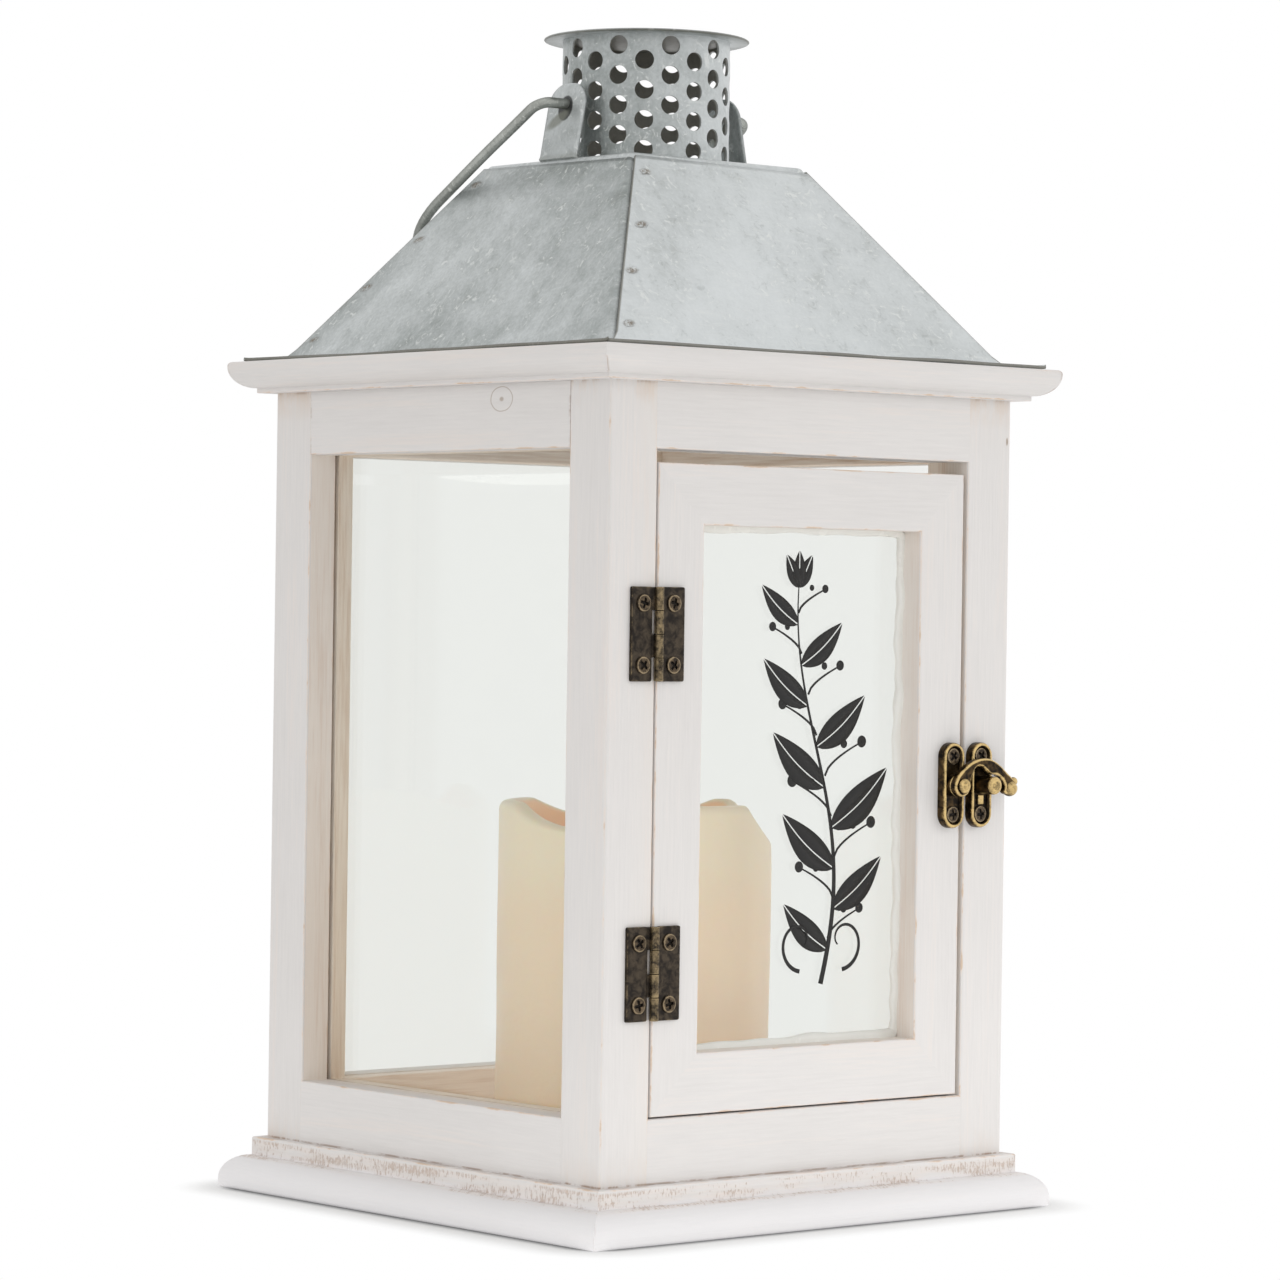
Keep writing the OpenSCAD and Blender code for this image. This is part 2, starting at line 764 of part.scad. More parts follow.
module latch_post_plate() {
    color("#8d7646") {
        latch_plate(latch_post_x);
        translate([latch_post_x, 0, latch_z]) {
            wall_extrude(-half - plate_t + rim_depth + eps, rim_depth + stud_l) circle(d = stud_d);
            translate([0, 0, -stud_d / 2 - lug_drop])
                wall_extrude(-half - plate_t + rim_depth + eps, rim_depth + 0.6)
                    square([lug_w, lug_h], center = true);
        }
    }
}

// The swing arm arches from its hub over the stud and ends in a ball tip.
module latch_arm() {
    stud_clear_r = stud_d / 2 + hook_clear;
    reach = stud_dx;
    tip_x = reach + stud_clear_r + 4.7;
    color("#9c8450")
        translate([latch_door_x, 0, latch_z])
            difference() {
                union() {
                    wall_extrude(arm_y, arm_t)
                        difference() {
                            union() {
                                circle(r = hub_r);
                                difference() {
                                    translate([reach * 0.76, -1.6]) circle(r = reach * 0.86);
                                    translate([-reach, -4 * reach]) square([4 * reach, 4 * reach - 0.4]);
                                }
                                translate([tip_x - 2.8, -0.9]) circle(r = 2.2);
                                translate([tip_x - 1.4, 0.9]) circle(r = 1.2);
                            }
                            // arch beside the hub
                            translate([hub_r + 2.8, 1.9]) circle(r = 2.9);
                            translate([hub_r, -4 * reach]) square([reach - hub_r - 2.4, 4 * reach + 1.9]);
                            // notch round the stud
                            translate([reach, 0]) circle(r = stud_clear_r);
                            translate([reach + 1.5, -0.9]) circle(r = stud_clear_r + 0.6);
                            translate([reach - stud_d / 2, -4 * reach]) square([stud_d, 4 * reach]);
                        }
                    // raised ball at the tip
                    translate([tip_x - 2.8, arm_y - arm_t / 2, -0.9]) sphere(r = 2.1);
                }
                wall_extrude(arm_y + 1, arm_t + 2) circle(r = rivet_d / 2 + rivet_clear);
            }
}

module latch_rivet() {
    color("#c0a468")
        translate([latch_door_x, 0, latch_z]) {
            wall_extrude(-half, plate_t + boss_h + arm_t + 0.1) circle(d = rivet_d);
            wall_extrude(arm_y - arm_t - 0.1 + eps, rivet_head_h) circle(d = rivet_head_d);
        }
}

// ---------- candle ----------

// The wax is a cup upside down over the housing, with a burnt-down well on top
// and a rim that has melted unevenly.
module candle_wax() {
    color("#e8cfa2")
        difference() {
            translate([0, 0, floor_z]) cylinder(r = candle_r, h = candle_h);
            translate([0, 0, floor_z - 1])
                cylinder(r = housing_r + housing_gap, h = housing_top + housing_gap - floor_z + 1);
            translate([0, 0, well_z]) cylinder(r = candle_r - wax_t, h = well_depth + 1);
            // hole for the light's stem
            translate([0, 0, housing_top - 1]) cylinder(r = stem_r + stem_clear, h = well_floor_t + 3);
            // dips of the rim, seen from above: direction, depth and width
            for (dip = [[238, 1, 26], [300, 0.5, 40], [335, 0.8, 30], [60, 0.6, 44], [150, 0.7, 34]])
                rotate([0, 0, dip[0]])
                    translate([candle_r - wax_t / 2, 0, floor_z + candle_h - rim_dip * dip[1] + dip[2]])
                        rotate([0, 90, 0]) cylinder(r = dip[2], h = 2 * wax_t, center = true);
        }
}

module candle_housing() {
    color("#d9d4c8")
        difference() {
            translate([0, 0, floor_z]) cylinder(r = housing_r, h = housing_top - floor_z);
            // recess under the deck
            translate([0, 0, floor_z - 1]) cylinder(r = housing_r - housing_t, h = foot_recess + 1);
            // room above the deck
            translate([0, 0, deck_z + deck_t])
                cylinder(r = housing_r - housing_t, h = housing_top - housing_t - deck_z - deck_t);
            // battery hatch and switch slot in the deck
            translate([-cover_w / 2, -cover_l / 2, deck_z - 1]) cube([cover_w, cover_l, deck_t + 2]);
            translate([switch_x - switch_w / 2, -switch_l / 2 - switch_travel, deck_z - 1])
                cube([switch_w, switch_l + switch_travel + 0.4, deck_t + 2]);
            // hole for the light's stem
            translate([0, 0, housing_top - housing_t - 1])
                cylinder(r = stem_r + stem_clear, h = housing_t + 2);
        }
}

// The light has a round foot under the housing's top, a stem and a pointed glow
// tip that stands in the well.
module candle_light() {
    stem_z = housing_top - housing_t;
    color("#fff1c4") {
        translate([0, 0, stem_z - 4]) cylinder(d = bulb_d, h = 4);
        translate([0, 0, stem_z - eps]) cylinder(r = stem_r, h = well_z - stem_z + 2);
        translate([0, 0, well_z + 0.3]) {
            cylinder(d = bulb_d, h = bulb_h * 0.3);
            translate([0, 0, bulb_h * 0.3 - eps]) cylinder(d1 = bulb_d, d2 = 1, h = bulb_h * 0.7);
        }
    }
}

module battery_cells() {
    color("#4a6b4a")
        for (s = [-1, 1])
            translate([s * (cell_d + cell_gap) / 2, 0, cell_z]) {
                cylinder(d = cell_d, h = cell_l - nub_h);
                translate([0, 0, cell_l - nub_h - eps]) cylinder(d = nub_d, h = nub_h);
            }
}

// Flat contact plates under and over the cells, held by posts on the cover.
module battery_contacts() {
    color("#c8c8c4") {
        translate([-cell_d - cell_gap / 2, -contact_w / 2, cell_z - contact_t])
            cube([2 * cell_d + cell_gap, contact_w, contact_t]);
        for (s = [-1, 1])
            translate([s * (cell_d + cell_gap) / 2 - contact_w / 2, -contact_w / 2, cell_z + cell_l])
                cube([contact_w, contact_w, contact_t]);
    }
}

module battery_cover() {
    gap = 0.2;
    color("#cfc9bb") {
        translate([-cover_w / 2 + gap, -cover_l / 2 + gap, deck_z])
            cube([cover_w - 2 * gap, cover_l - 2 * gap, cover_t]);
        for (s = [-1, 1])
            translate([s * block_x - block_w / 2, -block_l / 2, deck_z + cover_t - eps])
                cube([block_w, block_l, block_h + eps]);
    }
}

// The button stands through its slot and has a wide foot above the deck.
module candle_switch() {
    gap = 0.15;
    color("#3b3b3b") {
        translate([switch_x - switch_w / 2 + gap, -switch_l / 2, deck_z - 1.2])
            cube([switch_w - 2 * gap, switch_l, deck_t + 1.2 + gap]);
        translate([switch_x - switch_w / 2 - 0.4, -switch_l / 2 - 0.8, deck_z + deck_t + gap])
            cube([switch_w + 0.8, switch_l + 1.6, 1.5]);
    }
}

// ---------- the parts ----------

base_moulding(0);  // base_moulding_front
base_moulding(1);  // base_moulding_right
base_moulding(2);  // base_moulding_back
base_moulding(3);  // base_moulding_left
floor_board();
corner_post(0, true, false);  // post_front_left
corner_post(1, false, true);  // post_front_right
corner_post(2, true, true);  // post_back_right
corner_post(3, true, true);  // post_back_left
bottom_rail(0, false);  // bottom_rail_front
bottom_rail(1, true);  // bottom_rail_right
bottom_rail(2, true);  // bottom_rail_back
bottom_rail(3, true);  // bottom_rail_left
top_rail(0, false);  // top_rail_front
top_rail(1, true);  // top_rail_right
top_rail(2, true);  // top_rail_back
top_rail(3, true);  // top_rail_left
pane(1);  // pane_right
pane(2);  // pane_back
pane(3);  // pane_left
cornice(0);  // cornice_front
cornice(1);  // cornice_right
cornice(2);  // cornice_back
cornice(3);  // cornice_left
roof_panel(0);  // roof_panel_front
roof_panel(1);  // roof_panel_right
roof_panel(2);  // roof_panel_back
roof_panel(3);  // roof_panel_left
roof_top_plate();
chimney();
chimney_cap();
ear(-1);  // ear_left
ear(1);  // ear_right
bail_handle();
door_member(0);  // door_stile_hinge
door_member(1);  // door_stile_latch
door_member(2);  // door_rail_top
door_member(3);  // door_rail_bottom
door_pane();
door_sealant();
hinge_leaf(hinge_zs[0], -1, 0);  // hinge_frame_leaf_top
hinge_leaf(hinge_zs[1], -1, 0);  // hinge_frame_leaf_bottom
hinge_leaf(hinge_zs[0], 1, 1);  // hinge_door_leaf_top
hinge_leaf(hinge_zs[1], 1, 1);  // hinge_door_leaf_bottom
hinge_pins();
case_screws();
door_screws();
latch_door_plate();
latch_post_plate();
latch_arm();
latch_rivet();
candle_wax();
candle_housing();
candle_light();
battery_cells();
battery_contacts();
battery_cover();
candle_switch();
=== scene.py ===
import math
import bmesh
import bpy
import numpy as np
from mathutils import Matrix, Vector


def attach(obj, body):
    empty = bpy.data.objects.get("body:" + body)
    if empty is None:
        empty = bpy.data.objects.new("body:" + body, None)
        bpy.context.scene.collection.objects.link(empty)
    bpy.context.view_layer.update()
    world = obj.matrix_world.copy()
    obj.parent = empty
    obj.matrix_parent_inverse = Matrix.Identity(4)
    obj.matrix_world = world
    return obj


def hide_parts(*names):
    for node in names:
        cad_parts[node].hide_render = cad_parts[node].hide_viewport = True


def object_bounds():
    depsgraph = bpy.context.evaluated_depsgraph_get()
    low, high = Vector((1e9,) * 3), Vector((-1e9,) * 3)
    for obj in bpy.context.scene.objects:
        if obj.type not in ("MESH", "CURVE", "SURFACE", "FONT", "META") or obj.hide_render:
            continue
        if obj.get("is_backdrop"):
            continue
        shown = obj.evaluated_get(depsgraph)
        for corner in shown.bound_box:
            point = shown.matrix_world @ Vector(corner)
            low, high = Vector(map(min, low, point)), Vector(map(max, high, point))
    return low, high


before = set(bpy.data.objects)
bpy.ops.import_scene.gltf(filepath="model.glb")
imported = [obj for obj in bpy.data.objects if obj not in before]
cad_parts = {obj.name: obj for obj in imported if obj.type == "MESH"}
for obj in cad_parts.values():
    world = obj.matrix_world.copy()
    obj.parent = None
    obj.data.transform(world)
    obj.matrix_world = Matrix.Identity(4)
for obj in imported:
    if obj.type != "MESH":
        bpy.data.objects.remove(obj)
cadLow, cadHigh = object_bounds()
mm = 0.001      # every shape below is worked out in millimetres

# view, light and floor

view = {
    "place": (-0.81679, -0.95550, 0.15675),
    "target": (0.00034, -0.00029, 0.14958),
    "lens": 131.54,
    "sensor": 36.0,
    "roll": 0.804,
}

studio = {
    "ambient": 0.74,
    "ambientColour": (1.0, 0.995, 0.985),
    "floorColour": (0.80, 0.80, 0.80),
    "floorPaintedShadow": (0.14, 0.14, 0.145),       # painted contact shadow: the floor's colour where the slab meets it
    "paintedShadowReach": (0.0082, 0.0135),          # the floor goes from the painted shadow to its own colour over this distance
    "floorGlow": 0.06,
    "floorSquare": 0.070,                   # distances on the floor count from a square of this half width
    "floorSpan": (0.0088, 0.026),           # and from shadow to plain white over this one
    "floorLift": (0.32, 0.50),              # light from the floor near the lantern, and more in front of it
    "liftReach": (0.4, 0.03),               # that light fades out over this distance
    "liftAhead": (0.0, -0.2),               # and its front part grows over this one
    "floorSize": 6.0,
    # place, aim, size, power
    "lamps": {
        "key": ((0.7, -0.8, 0.50), (0.0, -0.05, 0.05), 0.6, 1.25),
        "side": ((1.3, -0.5, 0.25), (0.0, 0.0, 0.06), 0.7, 2.2),
        "fill": ((-2.1, -0.7, 0.7), (0.0, 0.0, 0.12), 1.6, 5.6),
        "top": ((0.3, 0.4, 2.4), (0.0, 0.0, 0.2), 1.8, 3.0),
    },
}


def aimed(place, target):
    # a frame at place whose -Z axis points at target and whose Y axis is upwards
    look = (Vector(target) - Vector(place)).to_track_quat("-Z", "Y").to_matrix().to_4x4()
    return Matrix.Translation(place) @ look


def makeCamera(spec):
    # a camera that looks from its place at its target, rolled about its own axis
    data = bpy.data.cameras.new("camera")
    data.sensor_width = spec["sensor"]
    data.lens = spec["lens"]
    camera = bpy.data.objects.new("camera", data)
    bpy.context.scene.collection.objects.link(camera)
    roll = Matrix.Rotation(math.radians(spec["roll"]), 4, "Z")
    camera.matrix_world = aimed(spec["place"], spec["target"]) @ roll
    bpy.context.scene.camera = camera


makeCamera(view)


# nodes

class Wire:
    # one socket of a node tree, with arithmetic
    def __init__(self, board, socket):
        self.board, self.socket = board, socket

    def __add__(self, other):
        return self.board.maths("ADD", self, other)

    def __sub__(self, other):
        return self.board.maths("SUBTRACT", self, other)

    def __rsub__(self, other):
        return self.board.maths("SUBTRACT", other, self)

    def __mul__(self, other):
        return self.board.maths("MULTIPLY", self, other)

    def __truediv__(self, other):
        return self.board.maths("DIVIDE", self, other)

    def __pow__(self, other):
        return self.board.maths("POWER", self, other)

    __radd__ = __add__
    __rmul__ = __mul__


class Board:
    # the node tree of one material or of the world
    def __init__(self, tree):
        self.tree = tree
        tree.nodes.clear()

    def node(self, kind, settings=None, sockets=None, out=0):
        # one node: its settings, its sockets as numbers, colours or wires, and which of its outputs is wanted
        made = self.tree.nodes.new(kind)
        for name, value in (settings or {}).items():
            setattr(made, name, value)
        for name, value in (sockets or {}).items():
            socket = made.inputs[name]
            if isinstance(value, Wire):
                self.tree.links.new(value.socket, socket)
            elif isinstance(value, tuple) and len(value) == 3 and socket.type == "RGBA":
                socket.default_value = (*value, 1.0)
            else:
                socket.default_value = value
        return Wire(self, made.outputs[out]) if made.outputs else None

    def maths(self, operation, a, b=0.0):
        # a and b joined by one operation
        return self.node("ShaderNodeMath", {"operation": operation}, {0: a, 1: b})

    def rise(self, value, low, high):
        # 0 below low and 1 above high, with an eased step between: 3 t^2 - 2 t^3
        return self.node("ShaderNodeMapRange", {"interpolation_type": "SMOOTHSTEP"},
                         {"Value": value, "From Min": low, "From Max": high, "To Min": 0.0, "To Max": 1.0})

    def blend(self, amount, a, b, kind="MIX"):
        # a (1 - amount) + b amount, or another way of joining two colours
        return self.node("ShaderNodeMix", {"data_type": "RGBA", "blend_type": kind},
                         {0: amount, 6: a, 7: b}, out=2)

    def toned(self, colour, tone):
        # a colour times a grey
        grey = self.node("ShaderNodeCombineColor", None, {0: tone, 1: tone, 2: tone})
        return self.blend(1.0, colour, grey, "MULTIPLY")

    def place(self):
        # the point in the object's own metres
        return self.node("ShaderNodeTexCoord", out=3)

    def mark(self, name, vector=False):
        # a number or a vector that the mesh carries at each point
        return self.node("ShaderNodeAttribute", {"attribute_name": name}, out=1 if vector else 2)

    def stretched(self, vector, scale, shift=(0.0, 0.0, 0.0)):
        # vector * scale + shift
        sockets = {0: vector, 1: scale, 2: shift}
        return self.node("ShaderNodeVectorMath", {"operation": "MULTIPLY_ADD"}, sockets)

    def away(self, vector, middle, scale):
        # how far a point is from middle, each direction stretched: |(vector - middle) * scale|
        shift = tuple(-m * s for m, s in zip(middle, scale))
        off = self.stretched(vector, scale, shift)
        return self.node("ShaderNodeVectorMath", {"operation": "LENGTH"}, {0: off}, out=1)

    def noise(self, vector, scale, detail=3.0, rough=0.5, warp=0.0):
        # smooth random clouds from 0 to 1
        return self.node("ShaderNodeTexNoise", None, {"Vector": vector, "Scale": scale, "Detail": detail,
                                                      "Roughness": rough, "Distortion": warp})

    def axis(self, vector, index):
        # one part of a vector
        return self.node("ShaderNodeSeparateXYZ", None, {0: vector}, out=index)

    def bump(self, height, distance):
        # a normal tilted as the slope of height * distance
        return self.node("ShaderNodeBump", None, {"Height": height, "Distance": distance})

    def seenWhite(self):
        # 1 for rays from the camera, off glossy faces and through glass, otherwise 0
        path = [self.node("ShaderNodeLightPath", out=i) for i in (0, 3, 6)]
        return self.maths("MAXIMUM", self.maths("MAXIMUM", path[0], path[1]), path[2])


def newFinish(name, build, **facts):
    # build(board) returns what goes into the sockets of one Principled shader
    material = bpy.data.materials.new(name)
    material.use_nodes = True
    board = Board(material.node_tree)
    sockets = build(board, **facts)
    shader = board.node("ShaderNodeBsdfPrincipled", None, sockets)
    board.node("ShaderNodeOutputMaterial", None, {"Surface": shader})
    return material


# stage

def lightWorld(spec):
    # soft light for the matt faces, and plain white wherever the surroundings themselves are seen
    world = bpy.data.worlds.new("world")
    bpy.context.scene.world = world
    world.use_nodes = True
    board = Board(world.node_tree)
    soft = board.node("ShaderNodeBackground", None,
                      {"Color": spec["ambientColour"], "Strength": spec["ambient"]})
    white = board.node("ShaderNodeBackground", None, {"Color": (1.0, 1.0, 1.0), "Strength": 1.0})
    mixed = board.node("ShaderNodeMixShader", None, {0: board.seenWhite(), 1: soft, 2: white})
    board.node("ShaderNodeOutputWorld", None, {"Surface": mixed})


def layFloor(spec):
    # A square sheet under the lantern. far is the distance from a square as wide as the base: the shadow
    # shows where it is small, darkened by a painted contact shadow, and the sheet turns plain white where it
    # is large.
    half = spec["floorSize"] / 2
    mesh = bpy.data.meshes.new("floor")
    corners = [(-half, -half, 0), (half, -half, 0), (half, half, 0), (-half, half, 0)]
    mesh.from_pydata(corners, [], [(0, 1, 2, 3)])
    floor = bpy.data.objects.new("floor", mesh)
    bpy.context.scene.collection.objects.link(floor)
    material = bpy.data.materials.new("floor")
    material.use_nodes = True
    board = Board(material.node_tree)
    shown = board.seenWhite()
    flat = board.node("ShaderNodeVectorMath", {"operation": "ABSOLUTE"}, {0: board.place()})
    beyond = [board.maths("MAXIMUM", board.axis(flat, i) - spec["floorSquare"], 0.0) for i in (0, 1)]
    far = (beyond[0] * beyond[0] + beyond[1] * beyond[1]) ** 0.5
    # painted contact shadow: the floor's colour is dark next to the base and fades to its own colour
    tint = board.blend(board.rise(far, *spec["paintedShadowReach"]), spec["floorPaintedShadow"], spec["floorColour"])
    matt = board.node("ShaderNodeBsdfDiffuse", None, {"Color": tint})
    around, ahead = spec["floorLift"]
    inFront = board.rise(board.axis(board.place(), 1), *spec["liftAhead"])
    lift = board.rise(far, *spec["liftReach"]) * (inFront * ahead + around)
    strength = shown * spec["floorGlow"] + (1.0 - shown) * lift
    glow = board.node("ShaderNodeEmission", None, {"Color": (1.0, 1.0, 1.0), "Strength": strength})
    both = board.node("ShaderNodeAddShader", None, {0: matt, 1: glow})
    white = board.node("ShaderNodeEmission", None, {"Color": (1.0, 1.0, 1.0), "Strength": 1.0})
    plainShare = shown * board.rise(far, *spec["floorSpan"])
    mixed = board.node("ShaderNodeMixShader", None, {0: plainShare, 1: both, 2: white})
    board.node("ShaderNodeOutputMaterial", None, {"Surface": mixed})
    mesh.materials.append(material)
    floor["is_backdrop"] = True


def hangLamps(spec):
    # round lamps, each at its place and turned to its aim, that glossy faces don't mirror
    for name, (place, aim, size, power) in spec["lamps"].items():
        data = bpy.data.lights.new(name, "AREA")
        data.shape = "DISK"
        data.size = size
        data.energy = power
        lamp = bpy.data.objects.new(name, data)
        bpy.context.scene.collection.objects.link(lamp)
        lamp.matrix_world = aimed(place, aim)
        lamp.visible_glossy = False


lightWorld(studio)
layFloor(studio)
hangLamps(studio)
bpy.context.scene.view_settings.view_transform = "Standard"
print("view, light and floor are set")


# shapes

def turned(points, quarter):
    # quarter turns anticlockwise about the middle of the case
    c, s = ((1, 0), (0, 1), (-1, 0), (0, -1))[quarter % 4]
    x, y = points[..., 0], points[..., 1]
    return np.stack([c * x - s * y, s * x + c * y, points[..., 2]], -1)


def quads(rows, cols, wrapRows=False, wrapCols=False):
    # the four corners of every cell of a grid, as numbers of its points
    r = np.arange(rows if wrapRows else rows - 1)[:, None]
    c = np.arange(cols if wrapCols else cols - 1)[None, :]
    nextRow, nextCol = (r + 1) % rows, (c + 1) % cols
    here, above = r * cols, nextRow * cols
    return np.stack([here + c, here + nextCol, above + nextCol, above + c], -1).reshape(-1, 4)


def tube(rows, cols):
    # the cells of a grid that closes round its columns, with a cap on its first and its last row
    caps = [tuple(range(cols)), tuple(range(rows * cols - cols, rows * cols))]
    return list(quads(rows, cols, wrapCols=True)) + caps


def ripple(a, b, seed, size=1.0):
    # a smooth random surface: a sum of sine waves of random direction, length and start
    count = 7
    dice = np.random.default_rng(seed)
    direction = dice.uniform(0, 2 * np.pi, count)
    length = size * dice.uniform(0.5, 2.2, count)
    start = dice.uniform(0, 2 * np.pi, count)
    wave = (a[..., None] * np.cos(direction) + b[..., None] * np.sin(direction)) / length
    return np.sin(wave * 2 * np.pi + start).sum(-1) / math.sqrt(count)


def roundedOutline(corners, steps=5, near=(0.7, 1.6, 4.0)):
    # A closed outline. Each corner is (x, y, radius, worn, bare). With side ends s and e at its arc and the
    # corner p, an arc point is m + (s - m) cos t + (e - m) sin t, where m = s + e - p. Returned with the
    # points are each one's distance from a worn corner, as a share of wearReach, and how bare it is.
    wearReach = 4.0
    corner = np.array(corners, float)
    place, radius = corner[:, :2], corner[:, 2:3]
    before, after = np.roll(place, 1, 0) - place, np.roll(place, -1, 0) - place
    lengthBefore = np.linalg.norm(before, axis=1, keepdims=True)
    lengthAfter = np.linalg.norm(after, axis=1, keepdims=True)
    start, end = place + before / lengthBefore * radius, place + after / lengthAfter * radius
    t = np.linspace(0, np.pi / 2, steps)[None, :, None]
    middle = (start + end - place)[:, None]
    arcs = middle + (start[:, None] - middle) * np.cos(t) + (end[:, None] - middle) * np.sin(t)
    goal = np.roll(start, -1, 0)
    length = np.linalg.norm(goal - end, axis=1)[:, None]
    step = np.minimum(np.array(near)[None, :], length / 2)
    share = np.concatenate([step, length / 2, length - step[:, ::-1]], 1) / np.maximum(length, 1e-9)
    sides = end[:, None] + (goal - end)[:, None] * share[..., None]
    points = np.concatenate([arcs, sides], 1)
    worn = place[corner[:, 3] > 0]
    gap = np.full(points.shape[:2], wearReach)
    if len(worn):
        gap = np.linalg.norm(points[:, :, None] - worn[None, None], axis=-1).min(-1)
    ownBare, nextBare = corner[:, 4:5], np.roll(corner[:, 4], -1)[:, None]
    bare = np.concatenate([np.repeat(ownBare, steps, 1), ownBare + (nextBare - ownBare) * share], 1)
    return points.reshape(-1, 2), np.clip(gap.reshape(-1) / wearReach, 0, 1), bare.reshape(-1)


softAngle = 35.0        # degrees: a sharper edge between two faces isn't shaded over
sameSpot = 2e-6         # metres: points nearer than this become one
noLength = 1e-7         # metres: edges shorter than this are dropped


def shaded(name, mesh, finish, smooth):
    # a new object in the scene with smooth shading up to an angle in degrees, and one finish
    mesh.polygons.foreach_set("use_smooth", [True] * len(mesh.polygons))
    mesh.set_sharp_from_angle(angle=math.radians(smooth))
    mesh.materials.append(finish)
    piece = bpy.data.objects.new(name, mesh)
    bpy.context.scene.collection.objects.link(piece)
    return piece


def handOver(piece, body, slot, nodes):
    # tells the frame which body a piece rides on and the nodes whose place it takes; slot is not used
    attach(piece, body)
    if nodes:
        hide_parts(*nodes)
    return piece


def newPiece(name, body, slot, finish, parts, replaces=(), smooth=softAngle, thickness=0.0, outward=True):
    # parts are (points in millimetres, faces, {attribute: values}); they become one object in metres
    allPoints, allFaces, marks, first = [], [], {}, 0
    for points, faces, extra in parts:
        flat = np.asarray(points, float).reshape(-1, 3)
        allPoints.append(flat)
        allFaces += [tuple(int(i) + first for i in face) for face in faces]
        for key, values in extra.items():
            marks.setdefault(key, []).append((first, np.asarray(values, float)))
        first += len(flat)
    mesh = bpy.data.meshes.new(name)
    mesh.from_pydata((np.concatenate(allPoints) * mm).tolist(), [], allFaces)
    for key, pieces in marks.items():
        vector = pieces[0][1].ndim > 1
        values = np.zeros((first, 3) if vector else first)
        for at, part in pieces:
            values[at:at + len(part)] = part
        layer = mesh.attributes.new(key, "FLOAT_VECTOR" if vector else "FLOAT", "POINT")
        layer.data.foreach_set("vector" if vector else "value", values.ravel())
    work = bmesh.new()
    work.from_mesh(mesh)
    bmesh.ops.remove_doubles(work, verts=work.verts, dist=sameSpot)
    bmesh.ops.dissolve_degenerate(work, edges=work.edges, dist=noLength)
    if outward:
        bmesh.ops.recalc_face_normals(work, faces=work.faces)
    work.to_mesh(mesh)
    work.free()
    piece = shaded(name, mesh, finish, smooth)
    if thickness:
        wall = piece.modifiers.new("wall", "SOLIDIFY")
        wall.thickness = thickness * mm
        wall.offset = -1.0
        wall.use_even_offset = True
    return handOver(piece, body, slot, replaces)


def smoothCopy(name, node, body, slot, finish, bevel=0.15):
    # a merged copy of a CAD node, with its flat faces joined and its edges eased
    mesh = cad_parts[node].data.copy()
    mesh.name = name
    work = bmesh.new()
    work.from_mesh(mesh)
    bmesh.ops.remove_doubles(work, verts=work.verts, dist=sameSpot)
    bmesh.ops.dissolve_limit(work, angle_limit=math.radians(1.0), verts=work.verts, edges=work.edges)
    work.to_mesh(mesh)
    work.free()
    mesh.materials.clear()
    piece = shaded(name, mesh, finish, softAngle)
    if bevel:
        ease = piece.modifiers.new("ease", "BEVEL")
        ease.width = bevel * mm
        ease.segments = 2
        ease.limit_method = "ANGLE"
        ease.angle_limit = math.radians(softAngle)
        ease.harden_normals = True
    return handOver(piece, body, slot, (node,))


def member(outline, start, end, place, grainShift, joint=1.0, wash=0.0):
    # A bar: every outline point runs from start(a, b) to end(a, b), and place(s, a, b) puts it in the
    # lantern. joint and wash say how much its end lines and the brownish wash near its ends show:
    # 1 - d / reach, with d the distance from an end. The wash is weaker at the first end.
    pitch, jointReach, washReach, firstWash = 9.0, 0.8, 9.0, 0.45
    points, edge, bare = outline
    a, b = points[:, 0], points[:, 1]
    s0, s1 = start(a, b), end(a, b)
    length = abs(float(np.mean(s1 - s0)))
    close = np.array([0, 0.4, 1.5, 4.0, 8.0]) / length
    between = np.linspace(close[-1], 1 - close[-1], max(2, int(length / pitch)))
    t = np.unique(np.concatenate([close, between, 1 - close]))
    s = s0[None] + (s1 - s0)[None] * t[:, None]
    a2, b2 = np.broadcast_to(a, s.shape), np.broadcast_to(b, s.shape)
    grid = np.stack(place(s, a2, b2), -1)
    fromFirst, fromLast = abs(s - s0[None]).ravel(), abs(s1[None] - s).ravel()
    fromEnd = np.minimum(fromFirst, fromLast)
    washed = np.clip(1 - fromEnd / washReach, 0, 1) ** 1.2 * wash
    marks = {
        "grain": np.stack([s, a2, b2], -1).reshape(-1, 3) * mm + np.array(grainShift),
        "edge": np.broadcast_to(edge, s.shape).ravel(),
        "bare": np.broadcast_to(bare, s.shape).ravel(),
        "joint": np.clip(1 - fromEnd / jointReach, 0, 1) * joint,
        "wash": washed * np.where(fromFirst < fromEnd + 1e-6, firstWash, 1.0),
    }
    return grid, tube(len(t), len(a)), marks


# finishes

# places and sizes of the paint's single flaws and of the slab's painted light, in metres; a pair says where a
# mark starts and ends
flaws = {
    "footLineHeight": 0.01400, "footLineWidth": (0.00034, 0.00010), "slabLightSpan": (0.0108, 0.0088),
    "knot": (0.0, -0.0270, 0.2108), "knotStretch": (0.0, 0.70, 1.0), "knotRing": 0.0031,
    "knotLine": (0.00022, 0.0), "knotDot": (0.0008, 0.0003),
    "nick": (0.0686, 0.0, 0.2039), "nickStretch": (3.0, 0.0, 1.0), "nickSize": (0.0014, 0.0006),
    "wallSkin": (-0.0690, -0.0697),
}


